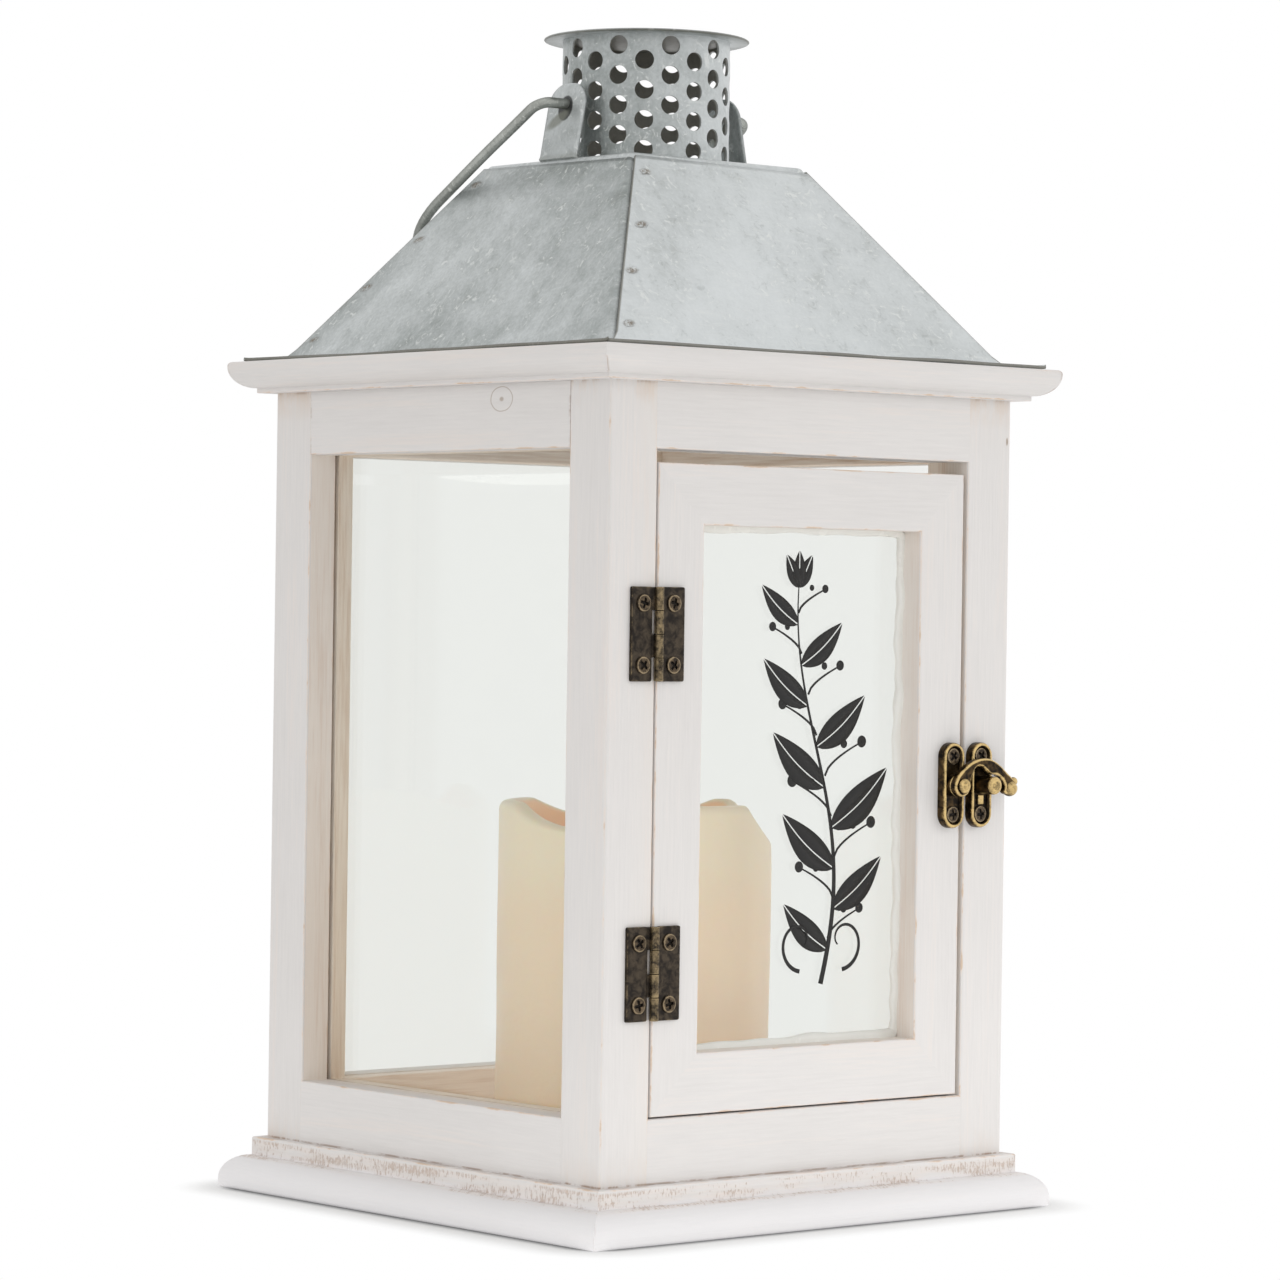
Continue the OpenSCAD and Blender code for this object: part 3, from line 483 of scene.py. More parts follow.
def painted(board, paint, clean, edgeRub, tan, peach, brown, chipBrown, bareWood, dark, grainDepth):
    # White paint over wood. The mesh says where an edge is worn and gets a painted highlight, a joint or a
    # wash shows, a chip may lie and the wood is bare; noise along the grain breaks each of them up.
    grain, spot = board.mark("grain", vector=True), board.place()
    edge, bare, joint, wash, chip = (board.mark(n) for n in ("edge", "bare", "joint", "wash", "chip"))
    fine = board.noise(board.stretched(grain, (60.0, 1300.0, 1300.0)), 1.0, 4.0, 0.6)
    broad = board.noise(board.stretched(grain, (9.0, 150.0, 150.0)), 1.0, 3.0, 0.55, 0.6)
    cloud = board.noise(grain, 38.0, 3.0, 0.5)
    speck = board.noise(grain, 950.0, 2.0, 0.5)
    wander = board.noise(board.stretched(grain, (120.0, 260.0, 260.0)), 1.0, 3.0, 0.6)
    # paint: thin and slightly streaked, so that the wood tints it here and there
    tone = (fine - 0.5) * 0.14 + (broad - 0.5) * 0.05 + (cloud - 0.5) * 0.05 + 0.985
    coat = board.toned(paint, tone)
    coat = board.blend(board.rise(broad + (fine - 0.5) * 0.6, 0.52, 0.80) * 0.22, coat, peach)
    cloudy = board.rise(cloud + (wander - 0.5) * 0.9 + (fine - 0.5) * 0.5, 0.30, 0.75)
    coat = board.blend(wash * cloudy * 0.50, coat, tan)
    # rubbed edges: a pale warm band, partly wear and partly a painted highlight along the edge, with a
    # thinner tan line in it that comes and goes
    band = board.rise(board.rise(wander, 0.2, 0.8) * 0.16 - edge + 0.05, 0.0, 0.12)
    coat = board.blend(band * 0.6, coat, peach)
    rub = board.rise(board.rise(wander, 0.42, 0.72) * edgeRub + 0.02 - edge + (speck - 0.5) * 0.05, 0.0, 0.06)
    coat = board.blend(rub * 0.75, coat, tan)
    coat = board.blend(board.rise(joint, 0.25, 0.7) * board.rise(wander, 0.45, 0.65) * 0.42, coat, brown)
    # a dark brown line where the case stands on its base, and below it the slab painted paler, as painted
    # light on the slab
    level = board.axis(spot, 2)
    foot = board.rise(board.maths("ABSOLUTE", level - flaws["footLineHeight"]), *flaws["footLineWidth"])
    coat = board.blend(foot * board.rise(wander, 0.42, 0.58) * 0.55, coat, brown)
    coat = board.blend(board.rise(level, *flaws["slabLightSpan"]) * 0.7, coat, clean)
    # chips across the grain on the small flat of a moulding
    tick = board.noise(board.stretched(grain, (2100.0, 620.0, 620.0)), 1.0, 2.0, 0.55)
    patch = board.noise(board.stretched(grain, (40.0, 300.0, 300.0)), 1.0, 3.0, 0.6)
    chip = chip * board.rise(edge, 0.1, 0.3)
    torn = board.rise(tick + (patch - 0.5) * 0.95, 0.55, 0.66) * chip
    coat = board.blend(board.rise(patch, 0.30, 0.60) * chip * 0.30, coat, peach)
    coat = board.blend(torn * board.rise(speck, 0.2, 0.6) * 0.50, coat, chipBrown)
    # one knot in the left top rail, a ring round a dot, and one nick in the right front post
    knotFar = board.away(spot, flaws["knot"], flaws["knotStretch"])
    fromRing = board.maths("ABSOLUTE", knotFar + (wander - 0.5) * 0.0005 - flaws["knotRing"])
    ring = board.rise(fromRing, *flaws["knotLine"]) + board.rise(knotFar, *flaws["knotDot"])
    onLeft = board.rise(board.axis(spot, 0), *flaws["wallSkin"])
    coat = board.blend(ring * onLeft * 0.55, coat, dark)
    nickFar = board.away(spot, flaws["nick"], flaws["nickStretch"])
    onFront = board.rise(board.axis(spot, 1), *flaws["wallSkin"])
    nicked = board.rise(nickFar + (speck - 0.5) * 0.0008, *flaws["nickSize"])
    coat = board.blend(nicked * onFront * 0.8, coat, dark)
    # bare wood inside, darker in the grooves
    wood = board.blend(board.rise(fine + (broad - 0.5), 0.32, 1.0), bareWood, tan)
    colour = board.blend(board.rise(bare, 0.1, 0.9), coat, wood)
    colour = board.blend(board.rise(bare, 1.1, 1.9) * 0.8, colour, brown)
    relief = (fine - 0.5) * grainDepth + (broad - 0.5) * 0.6 - torn * 0.8 - rub * 0.4 + (cloud - 0.5) * 0.3
    return {"Base Color": colour, "Roughness": 0.52 + (fine - 0.5) * 0.2 + bare * 0.2,
            "Normal": board.bump(relief, 0.00012), "Specular IOR Level": 0.35}


def clearGlass(name, tint, rough):
    # glass with faint smears; shadow and diffuse rays pass straight through it
    material = bpy.data.materials.new(name)
    material.use_nodes = True
    board = Board(material.node_tree)
    smear = board.noise(board.place(), 60.0, 3.0, 0.5)
    shader = board.node("ShaderNodeBsdfPrincipled", None, {
        "Base Color": tint, "Transmission Weight": 1.0, "IOR": 1.46, "Roughness": (smear - 0.35) * rough})
    through = board.node("ShaderNodeBsdfTransparent", None, {"Color": (0.97, 0.97, 0.97)})
    rays = [board.node("ShaderNodeLightPath", out=i) for i in (1, 2)]
    passing = board.maths("MAXIMUM", rays[0], rays[1])
    both = board.node("ShaderNodeMixShader", None, {0: passing, 1: shader, 2: through})
    board.node("ShaderNodeOutputMaterial", None, {"Surface": both})
    return material


# single marks on the sheets, in metres: welds from the left hip and the foot of a slope, the painted hole and
# the painted shadow of the wire in an ear
zincMarks = {
    "welds": ((0.0036, 0.0064), (0.0028, 0.0240), (0.0042, 0.0398), (0.0040, 0.0583)),
    "weldStretch": (1.0, 1.7, 0.0), "weldSize": (0.0025, 0.0010), "weldColour": (0.13, 0.085, 0.04),
    "paintedShadeColour": (0.135, 0.125, 0.094),
    "hole": (0.0, 0.0, 0.2902), "holeStretch": (0.0, 1.0, 0.85), "holeSize": (0.0031, 0.0026),
    "holeColour": (0.012, 0.012, 0.011),
    "smear": (0.0022, 0.2874), "wireShadowTurn": (0.88, 0.47), "wireShadowSize": (0.0052, 0.0017),
}


def galvanised(board, pale, deep, stain, rub, shine, mottle, turnDark=0.0):
    # zinc-coated sheet: clouds, diagonal rub marks, pale and dark flecks, and weld spots beside each hip
    spot, sheet = board.place(), board.mark("sheet", vector=True)
    tone, seam, inside, eared = (board.mark(n) for n in ("tone", "seam", "inside", "hole"))
    cloud = board.noise(spot, 21.0, 4.0, 0.6, 0.6)
    broad = board.noise(spot, 12.0, 2.0, 0.5, 0.8)
    small = board.noise(spot, 170.0, 4.0, 0.65, 0.4)
    fine = board.noise(spot, 1100.0, 2.0, 0.55)
    slanted = board.node("ShaderNodeMapping", {"vector_type": "POINT"},
                         {"Vector": spot, "Rotation": (0.5, 0.6, 0.7), "Scale": (110.0, 1000.0, 400.0)})
    streak = board.noise(slanted, 1.0, 3.0, 0.6, 0.2)
    # tone is partly painted shade: slopes and the ear turned from the light, one side of the chimney and the
    # lid's rim and underside get darker tones
    rich = (tone * 0.9 + 0.35) * mottle
    uneven = (broad - 0.5) * 0.9 + (cloud - 0.5) * 1.4 + (small - 0.5) * 0.6 + (fine - 0.5) * 0.5
    colour = board.blend(board.rise(tone + uneven * rich, -0.2, 1.2), pale, deep)
    rubbed = board.rise(streak + (fine - 0.5) * 0.5, 0.56, 0.78) * 0.32 * mottle
    colour = board.blend(rubbed, colour, rub)
    colour = board.blend(board.rise(small + (cloud - 0.5) * 0.7, 0.58, 0.80) * 0.25 * rich, colour, stain)
    # curled flecks of the zinc's crystals, pale ones and darker ones
    crystal = board.noise(spot, 330.0, 3.0, 0.6, 1.6)
    patchy = board.rise(small + (cloud - 0.5) * 0.5, 0.40, 0.60) * mottle
    colour = board.blend(board.rise(crystal, 0.575, 0.66) * patchy * 0.50, colour, rub)
    colour = board.blend(board.rise(crystal, 0.42, 0.34) * patchy * 0.22, colour, deep)
    # painted shade: the colour turns dark where the surface is seen edge-on, for the dark sides of the wire
    if turnDark:
        facing = board.node("ShaderNodeLayerWeight", None, {"Blend": 0.5}, out=1)
        colour = board.blend(board.rise(facing, 0.25, 0.85) * turnDark, colour, deep)
    colour = board.blend(board.rise(seam + (small - 0.5) * 0.4, 0.45, 1.0) * 0.5, colour, stain)
    # weld spots, on the slopes only
    weld = 0.0
    for inwards, along in zincMarks["welds"]:
        far = board.away(sheet, (inwards, along, 0.0), zincMarks["weldStretch"])
        weld = weld + board.rise(far + (fine - 0.5) * 0.0022 + (small - 0.5) * 0.0024, *zincMarks["weldSize"])
    weld = weld * board.rise(board.axis(sheet, 1), 0.0001, 0.001)
    colour = board.blend(weld * board.rise(fine, 0.30, 0.62) * 0.8, colour, zincMarks["weldColour"])
    # painted shade: inside the tube, under the lid and its rim, along the brim's edge and in the gap at each
    # sheet's left hip
    colour = board.blend(inside * 0.80, colour, zincMarks["paintedShadeColour"])
    # a painted dark hole behind the wire in each ear, and below it a painted shadow and reflection of the
    # wire
    around = board.away(spot, zincMarks["hole"], zincMarks["holeStretch"])
    holed = eared * board.rise(around, *zincMarks["holeSize"]) * 0.9
    colour = board.blend(holed, colour, zincMarks["holeColour"])
    middleOut, middleUp = zincMarks["smear"]
    lean, rise = zincMarks["wireShadowTurn"]
    long, wide = zincMarks["wireShadowSize"]
    out, up = board.axis(spot, 1) - middleOut, board.axis(spot, 2) - middleUp
    along, off = out * lean - up * rise, out * rise + up * lean
    smear = ((along / long) ** 2.0 + (off / wide) ** 2.0) ** 0.5 + (small - 0.5) * 0.6
    colour = board.blend(eared * board.rise(smear, 1.15, 0.55) * 0.7, colour, stain)
    relief = (small - 0.5) * 0.6 + (streak - 0.5) * 0.4 + (fine - 0.5) * 0.15 - weld * 1.2
    return {"Base Color": colour, "Metallic": 0.55 - inside * 0.45,
            "Roughness": shine + (cloud - 0.5) * 0.2 + (streak - 0.5) * 0.15,
            "Normal": board.bump(relief, 0.0003)}


def oldMetal(board, dark, light, edgeColour, mottle, metallic, rough, depth, reach):
    # cast or rolled fittings: blotches, hollows painted near black as painted shade and painted reflection,
    # and bright where hands and edges rub
    spot = board.place()
    edge = board.mark("edge")
    blotch = board.noise(spot, mottle, 4.0, 0.6, 0.5)
    fine = board.noise(spot, mottle * 5.0, 3.0, 0.6)
    colour = board.blend(board.rise(blotch, 0.35, 0.68), dark, light)
    # negative wear paints near black: painted shade in the screws' recesses and a painted dark reflection in
    # the plates' sunk fields
    colour = board.blend(board.rise(edge, 0.0, -0.6) * 0.9, colour, (0.004, 0.003, 0.003))
    shown = board.rise(edge + (fine - 0.5) * 0.5 + (blotch - 0.5) * 0.9, 1.0 - reach, 1.1)
    colour = board.blend(shown, colour, edgeColour)
    return {"Base Color": colour, "Metallic": metallic,
            "Roughness": rough + (fine - 0.5) * 0.2 - shown * 0.12,
            "Normal": board.bump((blotch - 0.5) + (fine - 0.5) * 0.6, depth)}


def bareBoard(board, pale, deep):
    # unpainted wood: year rings and fine grain along X
    spot = board.place()
    ring = board.noise(board.stretched(spot, (14.0, 190.0, 190.0)), 1.0, 4.0, 0.6, 0.4)
    fine = board.noise(board.stretched(spot, (70.0, 1500.0, 900.0)), 1.0, 3.0, 0.6)
    colour = board.blend(board.rise(ring + (fine - 0.5) * 0.5, 0.3, 0.75), pale, deep)
    return {"Base Color": colour, "Roughness": 0.72 + (fine - 0.5) * 0.15,
            "Normal": board.bump(fine + ring, 0.0001)}


def paraffin(board, low, high, glow, through, height):
    # wax: peach below, paler and greyer near the burnt rim, and warm orange in the well
    spot, well = board.place(), board.mark("well")
    cloud = board.noise(spot, 45.0, 3.0, 0.5, 0.3)
    fine = board.noise(spot, 420.0, 2.0, 0.5)
    share = board.rise(board.axis(spot, 2) + (cloud - 0.5) * 0.012, height - 0.030, height - 0.010)
    colour = board.blend(share, low, high)
    colour = board.blend(board.rise(well, 0.3, 0.9), colour, glow)
    # painted glow: the wax gives off a little light on its side towards the door, standing in for the light
    # that reaches it there
    ahead = board.rise(board.axis(spot, 1), -0.012, -0.033)
    shine = board.blend(ahead, (0.0, 0.0, 0.0), through)
    return {"Base Color": colour, "Roughness": 0.42 + (cloud - 0.5) * 0.16,
            "Emission Color": shine, "Emission Strength": 1.0, "Subsurface Weight": 0.35,
            "Subsurface Radius": (0.012, 0.006, 0.003), "Subsurface Scale": 0.5,
            "Normal": board.bump((cloud - 0.5) + (fine - 0.5) * 0.25, 0.0004)}


def moulded(board, colour, rough, grain=1600.0, depth=0.00003, metallic=0.0, spread=0.05):
    # plastic, sealant, plating or ink: one colour with faint clouds, over a fine skin
    spot = board.place()
    fine = board.noise(spot, grain, 2.0, 0.5)
    cloud = board.noise(spot, 55.0, 3.0, 0.5)
    tone = (cloud - 0.5) * spread * 2 + (fine - 0.5) * spread + 1.0
    return {"Base Color": board.toned(colour, tone), "Metallic": metallic,
            "Roughness": (cloud - 0.5) * 0.15 + (fine - 0.5) * 0.1 + rough,
            "Normal": board.bump(fine, depth)}


def srgb(r, g, b):
    # 8-bit screen colour to linear: c / 12.92 below 0.04045, otherwise ((c + 0.055) / 1.055) to the power 2.4
    shares = (r / 255, g / 255, b / 255)
    return tuple(c / 12.92 if c <= 0.04045 else ((c + 0.055) / 1.055) ** 2.4 for c in shares)


woodPaint = newFinish("washed_wood", painted, paint=srgb(228, 225, 223), clean=srgb(238, 237, 239),
                      edgeRub=0.12, tan=srgb(214, 188, 162), peach=srgb(237, 220, 208),
                      brown=srgb(150, 118, 94), chipBrown=srgb(176, 146, 122), bareWood=srgb(247, 237, 224),
                      dark=srgb(150, 126, 104), grainDepth=0.7)
rawWood = newFinish("raw_wood", bareBoard, pale=srgb(250, 238, 218), deep=srgb(232, 210, 182))
paneGlass = clearGlass("pane_glass", srgb(244, 245, 243), 0.02)
beadClear = newFinish("sealant", moulded, colour=srgb(236, 236, 231), rough=0.25, depth=0.0001, grain=300.0)
sheetZinc = newFinish("galvanised_sheet", galvanised, pale=srgb(220, 224, 225), deep=srgb(136, 142, 140),
                      stain=srgb(120, 122, 110), rub=srgb(232, 234, 232), shine=0.40, mottle=1.0)
wireZinc = newFinish("galvanised_wire", galvanised, pale=srgb(206, 209, 204), deep=srgb(84, 88, 80),
                     stain=srgb(90, 92, 78), rub=srgb(232, 234, 228), shine=0.30, mottle=0.9, turnDark=0.9)
bronze = newFinish("bronzed_hinge", oldMetal, dark=srgb(36, 31, 27), light=srgb(80, 70, 58),
                   edgeColour=srgb(164, 144, 108), mottle=420.0, metallic=0.75, rough=0.42, depth=0.00008,
                   reach=0.42)
screwMetal = newFinish("bronzed_screw", oldMetal, dark=srgb(52, 44, 36), light=srgb(112, 96, 76),
                       edgeColour=srgb(156, 138, 110), mottle=900.0, metallic=0.8, rough=0.34, depth=0.00004,
                       reach=0.45)
brass = newFinish("antique_brass", oldMetal, dark=srgb(25, 20, 14), light=srgb(90, 71, 44),
                  edgeColour=srgb(224, 194, 134), mottle=520.0, metallic=0.85, rough=0.32, depth=0.00008,
                  reach=0.5)
candleWax = newFinish("wax", paraffin, low=srgb(255, 229, 197), high=srgb(250, 236, 206),
                      glow=srgb(255, 214, 168), through=(0.138, 0.115, 0.096), height=0.106)
ivory = newFinish("ivory_plastic", moulded, colour=srgb(226, 219, 203), rough=0.42)
diffuser = newFinish("light_diffuser", moulded, colour=srgb(250, 236, 200), rough=0.3)
cellLabel = newFinish("cell_label", moulded, colour=srgb(70, 104, 82), rough=0.35)
contactMetal = newFinish("contact_plating", moulded, colour=srgb(206, 206, 202), rough=0.3, metallic=0.9)
blackPlastic = newFinish("black_plastic", moulded, colour=srgb(48, 48, 48), rough=0.4)
ink = newFinish("ink", moulded, colour=srgb(26, 25, 24), rough=0.55, grain=2500.0, spread=0.1)
print("finishes are ready")


# the case

case = {
    "half": 70.0, "post": 15.6, "baseTop": 13.8, "top": 214.8, "railFoot": 30.2, "railHead": 198.0,
    "groove": (8.5, 10.7), "grooveDeep": 3.5, "corner": 0.75, "arris": 0.45,
    "railReach": 0.32, "plainJoint": 0.2,       # how far plain rails run into the posts, and how it shows
    "baseHalf": 79.3, "baseBar": 20.0, "slab": 8.9, "slabRound": 6.5, "stepOut": 2.8,
    "chipIn": 0.6, "chipOut": 2.5,              # paint chips lie this near to the step of the base
    "corniceOut": 9.6, "corniceTop": 223.2, "corniceRound": 5.8, "corniceEase": 1.1,
    "filletOut": 3.8, "filletHigh": 1.3,
}
inner = case["half"] - case["post"]
sides = ("front", "right", "back", "left")


def woodPiece(name, body, points, faces, marks):
    # a painted piece that stands in for the node of the same name
    newPiece("wood_" + name, body, "washed_wood", woodPaint, [(points, faces, marks)], (name,))


def notch(wall, lip, deep, spots):
    # the corners of a pane groove cut into a flat: wall and spots say where it runs, and its inside is bare
    near, far = spots
    return [wall(near, 0.0, 0.15, 1, 0.5), wall(near, lip, 0.02, 0, 2), wall(near, deep, 0.1, 0, 2),
            wall(far, deep, 0.1, 0, 2), wall(far, 0.0, 0.15, 0, 1)]


def postOutline(k):
    # seen from above, with the corner of the case at (-half, -half); k counts the posts from the front left
    # one, and a side with a pane has a groove
    h, g, deep = case["half"], case["groove"], case["grooveDeep"]
    corners = [(-h, -h, case["corner"], 1, 0), (-inner, -h, case["arris"], 1, 0)]
    if k in (1, 2, 3):
        corners += [(-inner, -h + 0.7, 0.02, 0, 0.5)]
        corners += notch(lambda s, d, r, w, b: (-inner - d, -h + s, r, w, b), 0.3, deep, g)
        corners += [(-inner, -inner, 0.4, 0, 1)]
    else:
        corners[-1] = (-inner, -h, 0.3, 1, 0.3)
        corners += [(-inner, -inner, 0.4, 0, 0.4)]
    if k in (0, 2, 3):
        corners += [(-h + g[1], -inner, 0.15, 0, 1), (-h + g[1], -inner - deep, 0.1, 0, 2)]
        corners += [(-h + g[0], -inner - deep, 0.1, 0, 2), (-h + g[0], -inner - 0.3, 0.02, 0, 2)]
        corners += [(-h + g[0], -inner, 0.15, 1, 0.55)]
    return roundedOutline(corners + [(-h + 0.7, -inner, 0.02, 0, 0.5), (-h, -inner, case["arris"], 1, 0)])


def railOutline(low, high, grooveAt):
    # seen from the end: y and z of the front rail; grooveAt is 1 on its top, -1 on its foot, 0 for none
    h, g, deep = case["half"], case["groove"], case["grooveDeep"]
    cut = lambda s, d, r, w, b: (-h + s, (high - d) if grooveAt > 0 else (low + d), r, w, b)
    if grooveAt > 0:
        upper = [(-h, high, case["arris"], 1, 0)] + notch(cut, 0.3, deep, g) + [(-inner, high, 0.4, 0, 1)]
    elif grooveAt == 0:
        upper = [(-h, high, case["arris"], 1, 0), (-inner, high, 0.4, 0, 0)]
    else:
        upper = [(-h, high, 0.1, 0, 0), (-inner, high, 0.1, 0, 1)]
    if grooveAt < 0:
        lower = [(-inner, low, 0.4, 0, 1)] + notch(cut, 0.3, deep, g)[::-1] + [(-h, low, case["arris"], 1, 0)]
    else:
        lower = [(-inner, low, 0.1, 0, 1), (-h, low, 0.1, 0, 0)]
    return roundedOutline(upper + lower)


def straight(at):
    # every outline point ends at the same place along the bar
    return lambda a, b: np.full_like(a, at)


for k, name in enumerate(("front_left", "front_right", "back_right", "back_left")):
    grid, faces, marks = member(postOutline(k), straight(case["baseTop"]), straight(case["top"]),
                                lambda s, a, b: (a, b, s), (3.0 + 0.7 * k, 0.31 * k, 0.17 * k), wash=1.0)
    woodPiece("post_" + name, "root", turned(grid, k), faces, marks)

railLevels = {"bottom": (case["baseTop"], case["railFoot"], 0.0), "top": (case["railHead"], case["top"], 2.3)}
for k, side in enumerate(sides):
    for level, (low, high, grainOn) in railLevels.items():
        if side == "front" and level == "top":          # the bar over the door has no groove
            outline = roundedOutline([(-case["half"], low, case["arris"], 1, 0),
                                      (-case["half"], high, 0.1, 0, 0), (-inner, high, 0.1, 0, 1),
                                      (-inner, low, 0.4, 0, 0.3)])
        elif side == "front":
            outline = railOutline(low, high, 0)
        else:
            outline = railOutline(low, high, 1 if level == "bottom" else -1)
        plain = level == "bottom" or side == "front"
        reach = case["railReach"] if plain else 0.0
        grid, faces, marks = member(outline, straight(-inner - reach), straight(inner + reach),
                                    lambda s, a, b: (s, a, b), (7.0 + 0.9 * k + grainOn, 0.23 * k, 0.41),
                                    joint=case["plainJoint"] if plain else 1.0)
        woodPiece(f"{level}_rail_{side}", "root", turned(grid, k), faces, marks)

# outlines of the mouldings as (out from the middle, up, radius, worn, bare)
baseOut, stepAt = case["baseHalf"], case["half"] + case["stepOut"]
baseBack = baseOut - case["baseBar"]
baseCorners = [
    (baseBack, 0, 0.1, 0, 1), (baseOut, 0, 0.9, 0, 0), (baseOut, case["slab"], case["slabRound"], 0, 0),
    (stepAt, case["slab"], 0.25, 0, 0), (stepAt, case["baseTop"], 0.5, 1, 0),
    (baseBack, case["baseTop"], 0.1, 0, 1)]
filletAt, corniceAt = case["half"] + case["filletOut"], case["half"] + case["corniceOut"]
filletTop = case["top"] + case["filletHigh"]
corniceCorners = [
    (inner, case["top"], 0.1, 0, 1), (filletAt, case["top"], 0.25, 1, 0), (filletAt, filletTop, 0.1, 0, 0),
    (corniceAt, filletTop, case["corniceRound"], 0, 0),
    (corniceAt, case["corniceTop"], case["corniceEase"], 1, 0), (inner, case["corniceTop"], 0.1, 0, 1)]


def mouldingPiece(name, corners, k, shift, chipBand=None):
    # a mitred bar: the outline point (out, up) runs from -out to out; chips lie in a band of its step
    grid, faces, marks = member(roundedOutline(corners, steps=11), lambda a, b: -a, lambda a, b: a,
                                lambda s, a, b: (s, -a, b), shift)
    height, out = grid[..., 2].ravel(), -grid[..., 1].ravel()
    low, high = chipBand or (math.inf, math.inf)
    onStep = (out > stepAt - case["chipIn"]) & (out < stepAt + case["chipOut"])
    marks["chip"] = ((height > low) & (height < high) & onStep).astype(float)
    woodPiece(name, "root", turned(grid, k), faces, marks)


chipBand = (case["slab"] - 0.4, case["baseTop"] + 0.1)
for k, side in enumerate(sides):
    mouldingPiece("base_moulding_" + side, baseCorners, k, (11.0 + 1.3 * k, 0.37 * k, 0.2), chipBand)
    mouldingPiece("cornice_" + side, corniceCorners, k, (17.0 + 1.1 * k, 0.29 * k, 0.5))
print("the wooden case is built")

# the floor board and the panes keep their CAD shape
ownFinish = {"floor_board": rawWood, "pane_right": paneGlass, "pane_back": paneGlass, "pane_left": paneGlass,
             "door_pane": paneGlass}
for node, finish in ownFinish.items():
    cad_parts[node].data.materials.clear()
    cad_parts[node].data.materials.append(finish)

# the door

door = {
    "x0": -53.7, "x1": 52.8, "z0": 30.7, "z1": 194.6, "thick": 10.0, "bar": 15.4, "rebate": (4.0, 2.2),
    "edge": 0.5, "outer": 0.3,
}


def doorOutline():
    # across the bar from the door's edge, and back from its face
    w, t = door["bar"], door["thick"]
    cut, deep = door["rebate"]
    face = [(0, 0, door["outer"], 1, 0), (w, 0, door["edge"], 1, 0), (w, 0.7, 0.02, 0, 0.45)]
    rebate = [(w, t - deep, 0.2, 0, 0.45), (w - cut, t - deep, 0.1, 0, 1), (w - cut, t, 0.3, 0, 1)]
    return roundedOutline(face + rebate + [(0, t, 0.4, 0, 0)])


# each bar: its two ends, and where a point lies that is s along it, a in from the door's edge and b back
doorFace = -case["half"]
doorBars = {
    "stile_hinge": (door["z0"], door["z1"], lambda s, a, b: (door["x0"] + a, doorFace + b, s)),
    "stile_latch": (door["z0"], door["z1"], lambda s, a, b: (door["x1"] - a, doorFace + b, s)),
    "rail_top": (door["x0"], door["x1"], lambda s, a, b: (s, doorFace + b, door["z1"] - a)),
    "rail_bottom": (door["x0"], door["x1"], lambda s, a, b: (s, doorFace + b, door["z0"] + a)),
}
for k, (name, (low, high, place)) in enumerate(doorBars.items()):
    grid, faces, marks = member(doorOutline(), lambda a, b: low + a, lambda a, b: high - a, place,
                                (23.0 + 1.7 * k, 0.19 * k, 0.33), joint=0.0)
    woodPiece("door_" + name, "door", grid, faces, marks)
print("the door is built")

# the roof

roof = {
    "foot": 68.8, "brim": 76.4, "brimTop": 224.0, "top": 275.7, "topHalf": 31.3, "sheet": 0.8,
    "strip": 6.0, "short": 1.3, "fold": 0.9, "wave": 0.22,
    "ease": 1.06,               # room in a fold, as a share of the sheet that it wraps
    "smooth": 28.0,
    # each slope's tone: the slopes turned from the light are darker, as painted shade
    "shadeTones": {"front": 0.22, "right": 0.35, "back": 0.5, "left": 0.68},
}
slopeRun, slopeRise = roof["foot"] - roof["topHalf"], roof["top"] - roof["brimTop"]
slopeLength = math.hypot(slopeRun, slopeRise)
slopeSine, slopeCosine = slopeRise / slopeLength, slopeRun / slopeLength


def zincPiece(name, points, extra, node, sheet, wrapCols=False, smooth=softAngle):
    # a sheet of metal: its outer face is the grid of points, and its wall is as thick as the sheet
    parts = [(points, quads(*points.shape[:2], wrapCols=wrapCols), extra)]
    newPiece(name, "root", "galvanised_sheet", sheetZinc, parts, (node,), smooth,
             thickness=sheet, outward=False)


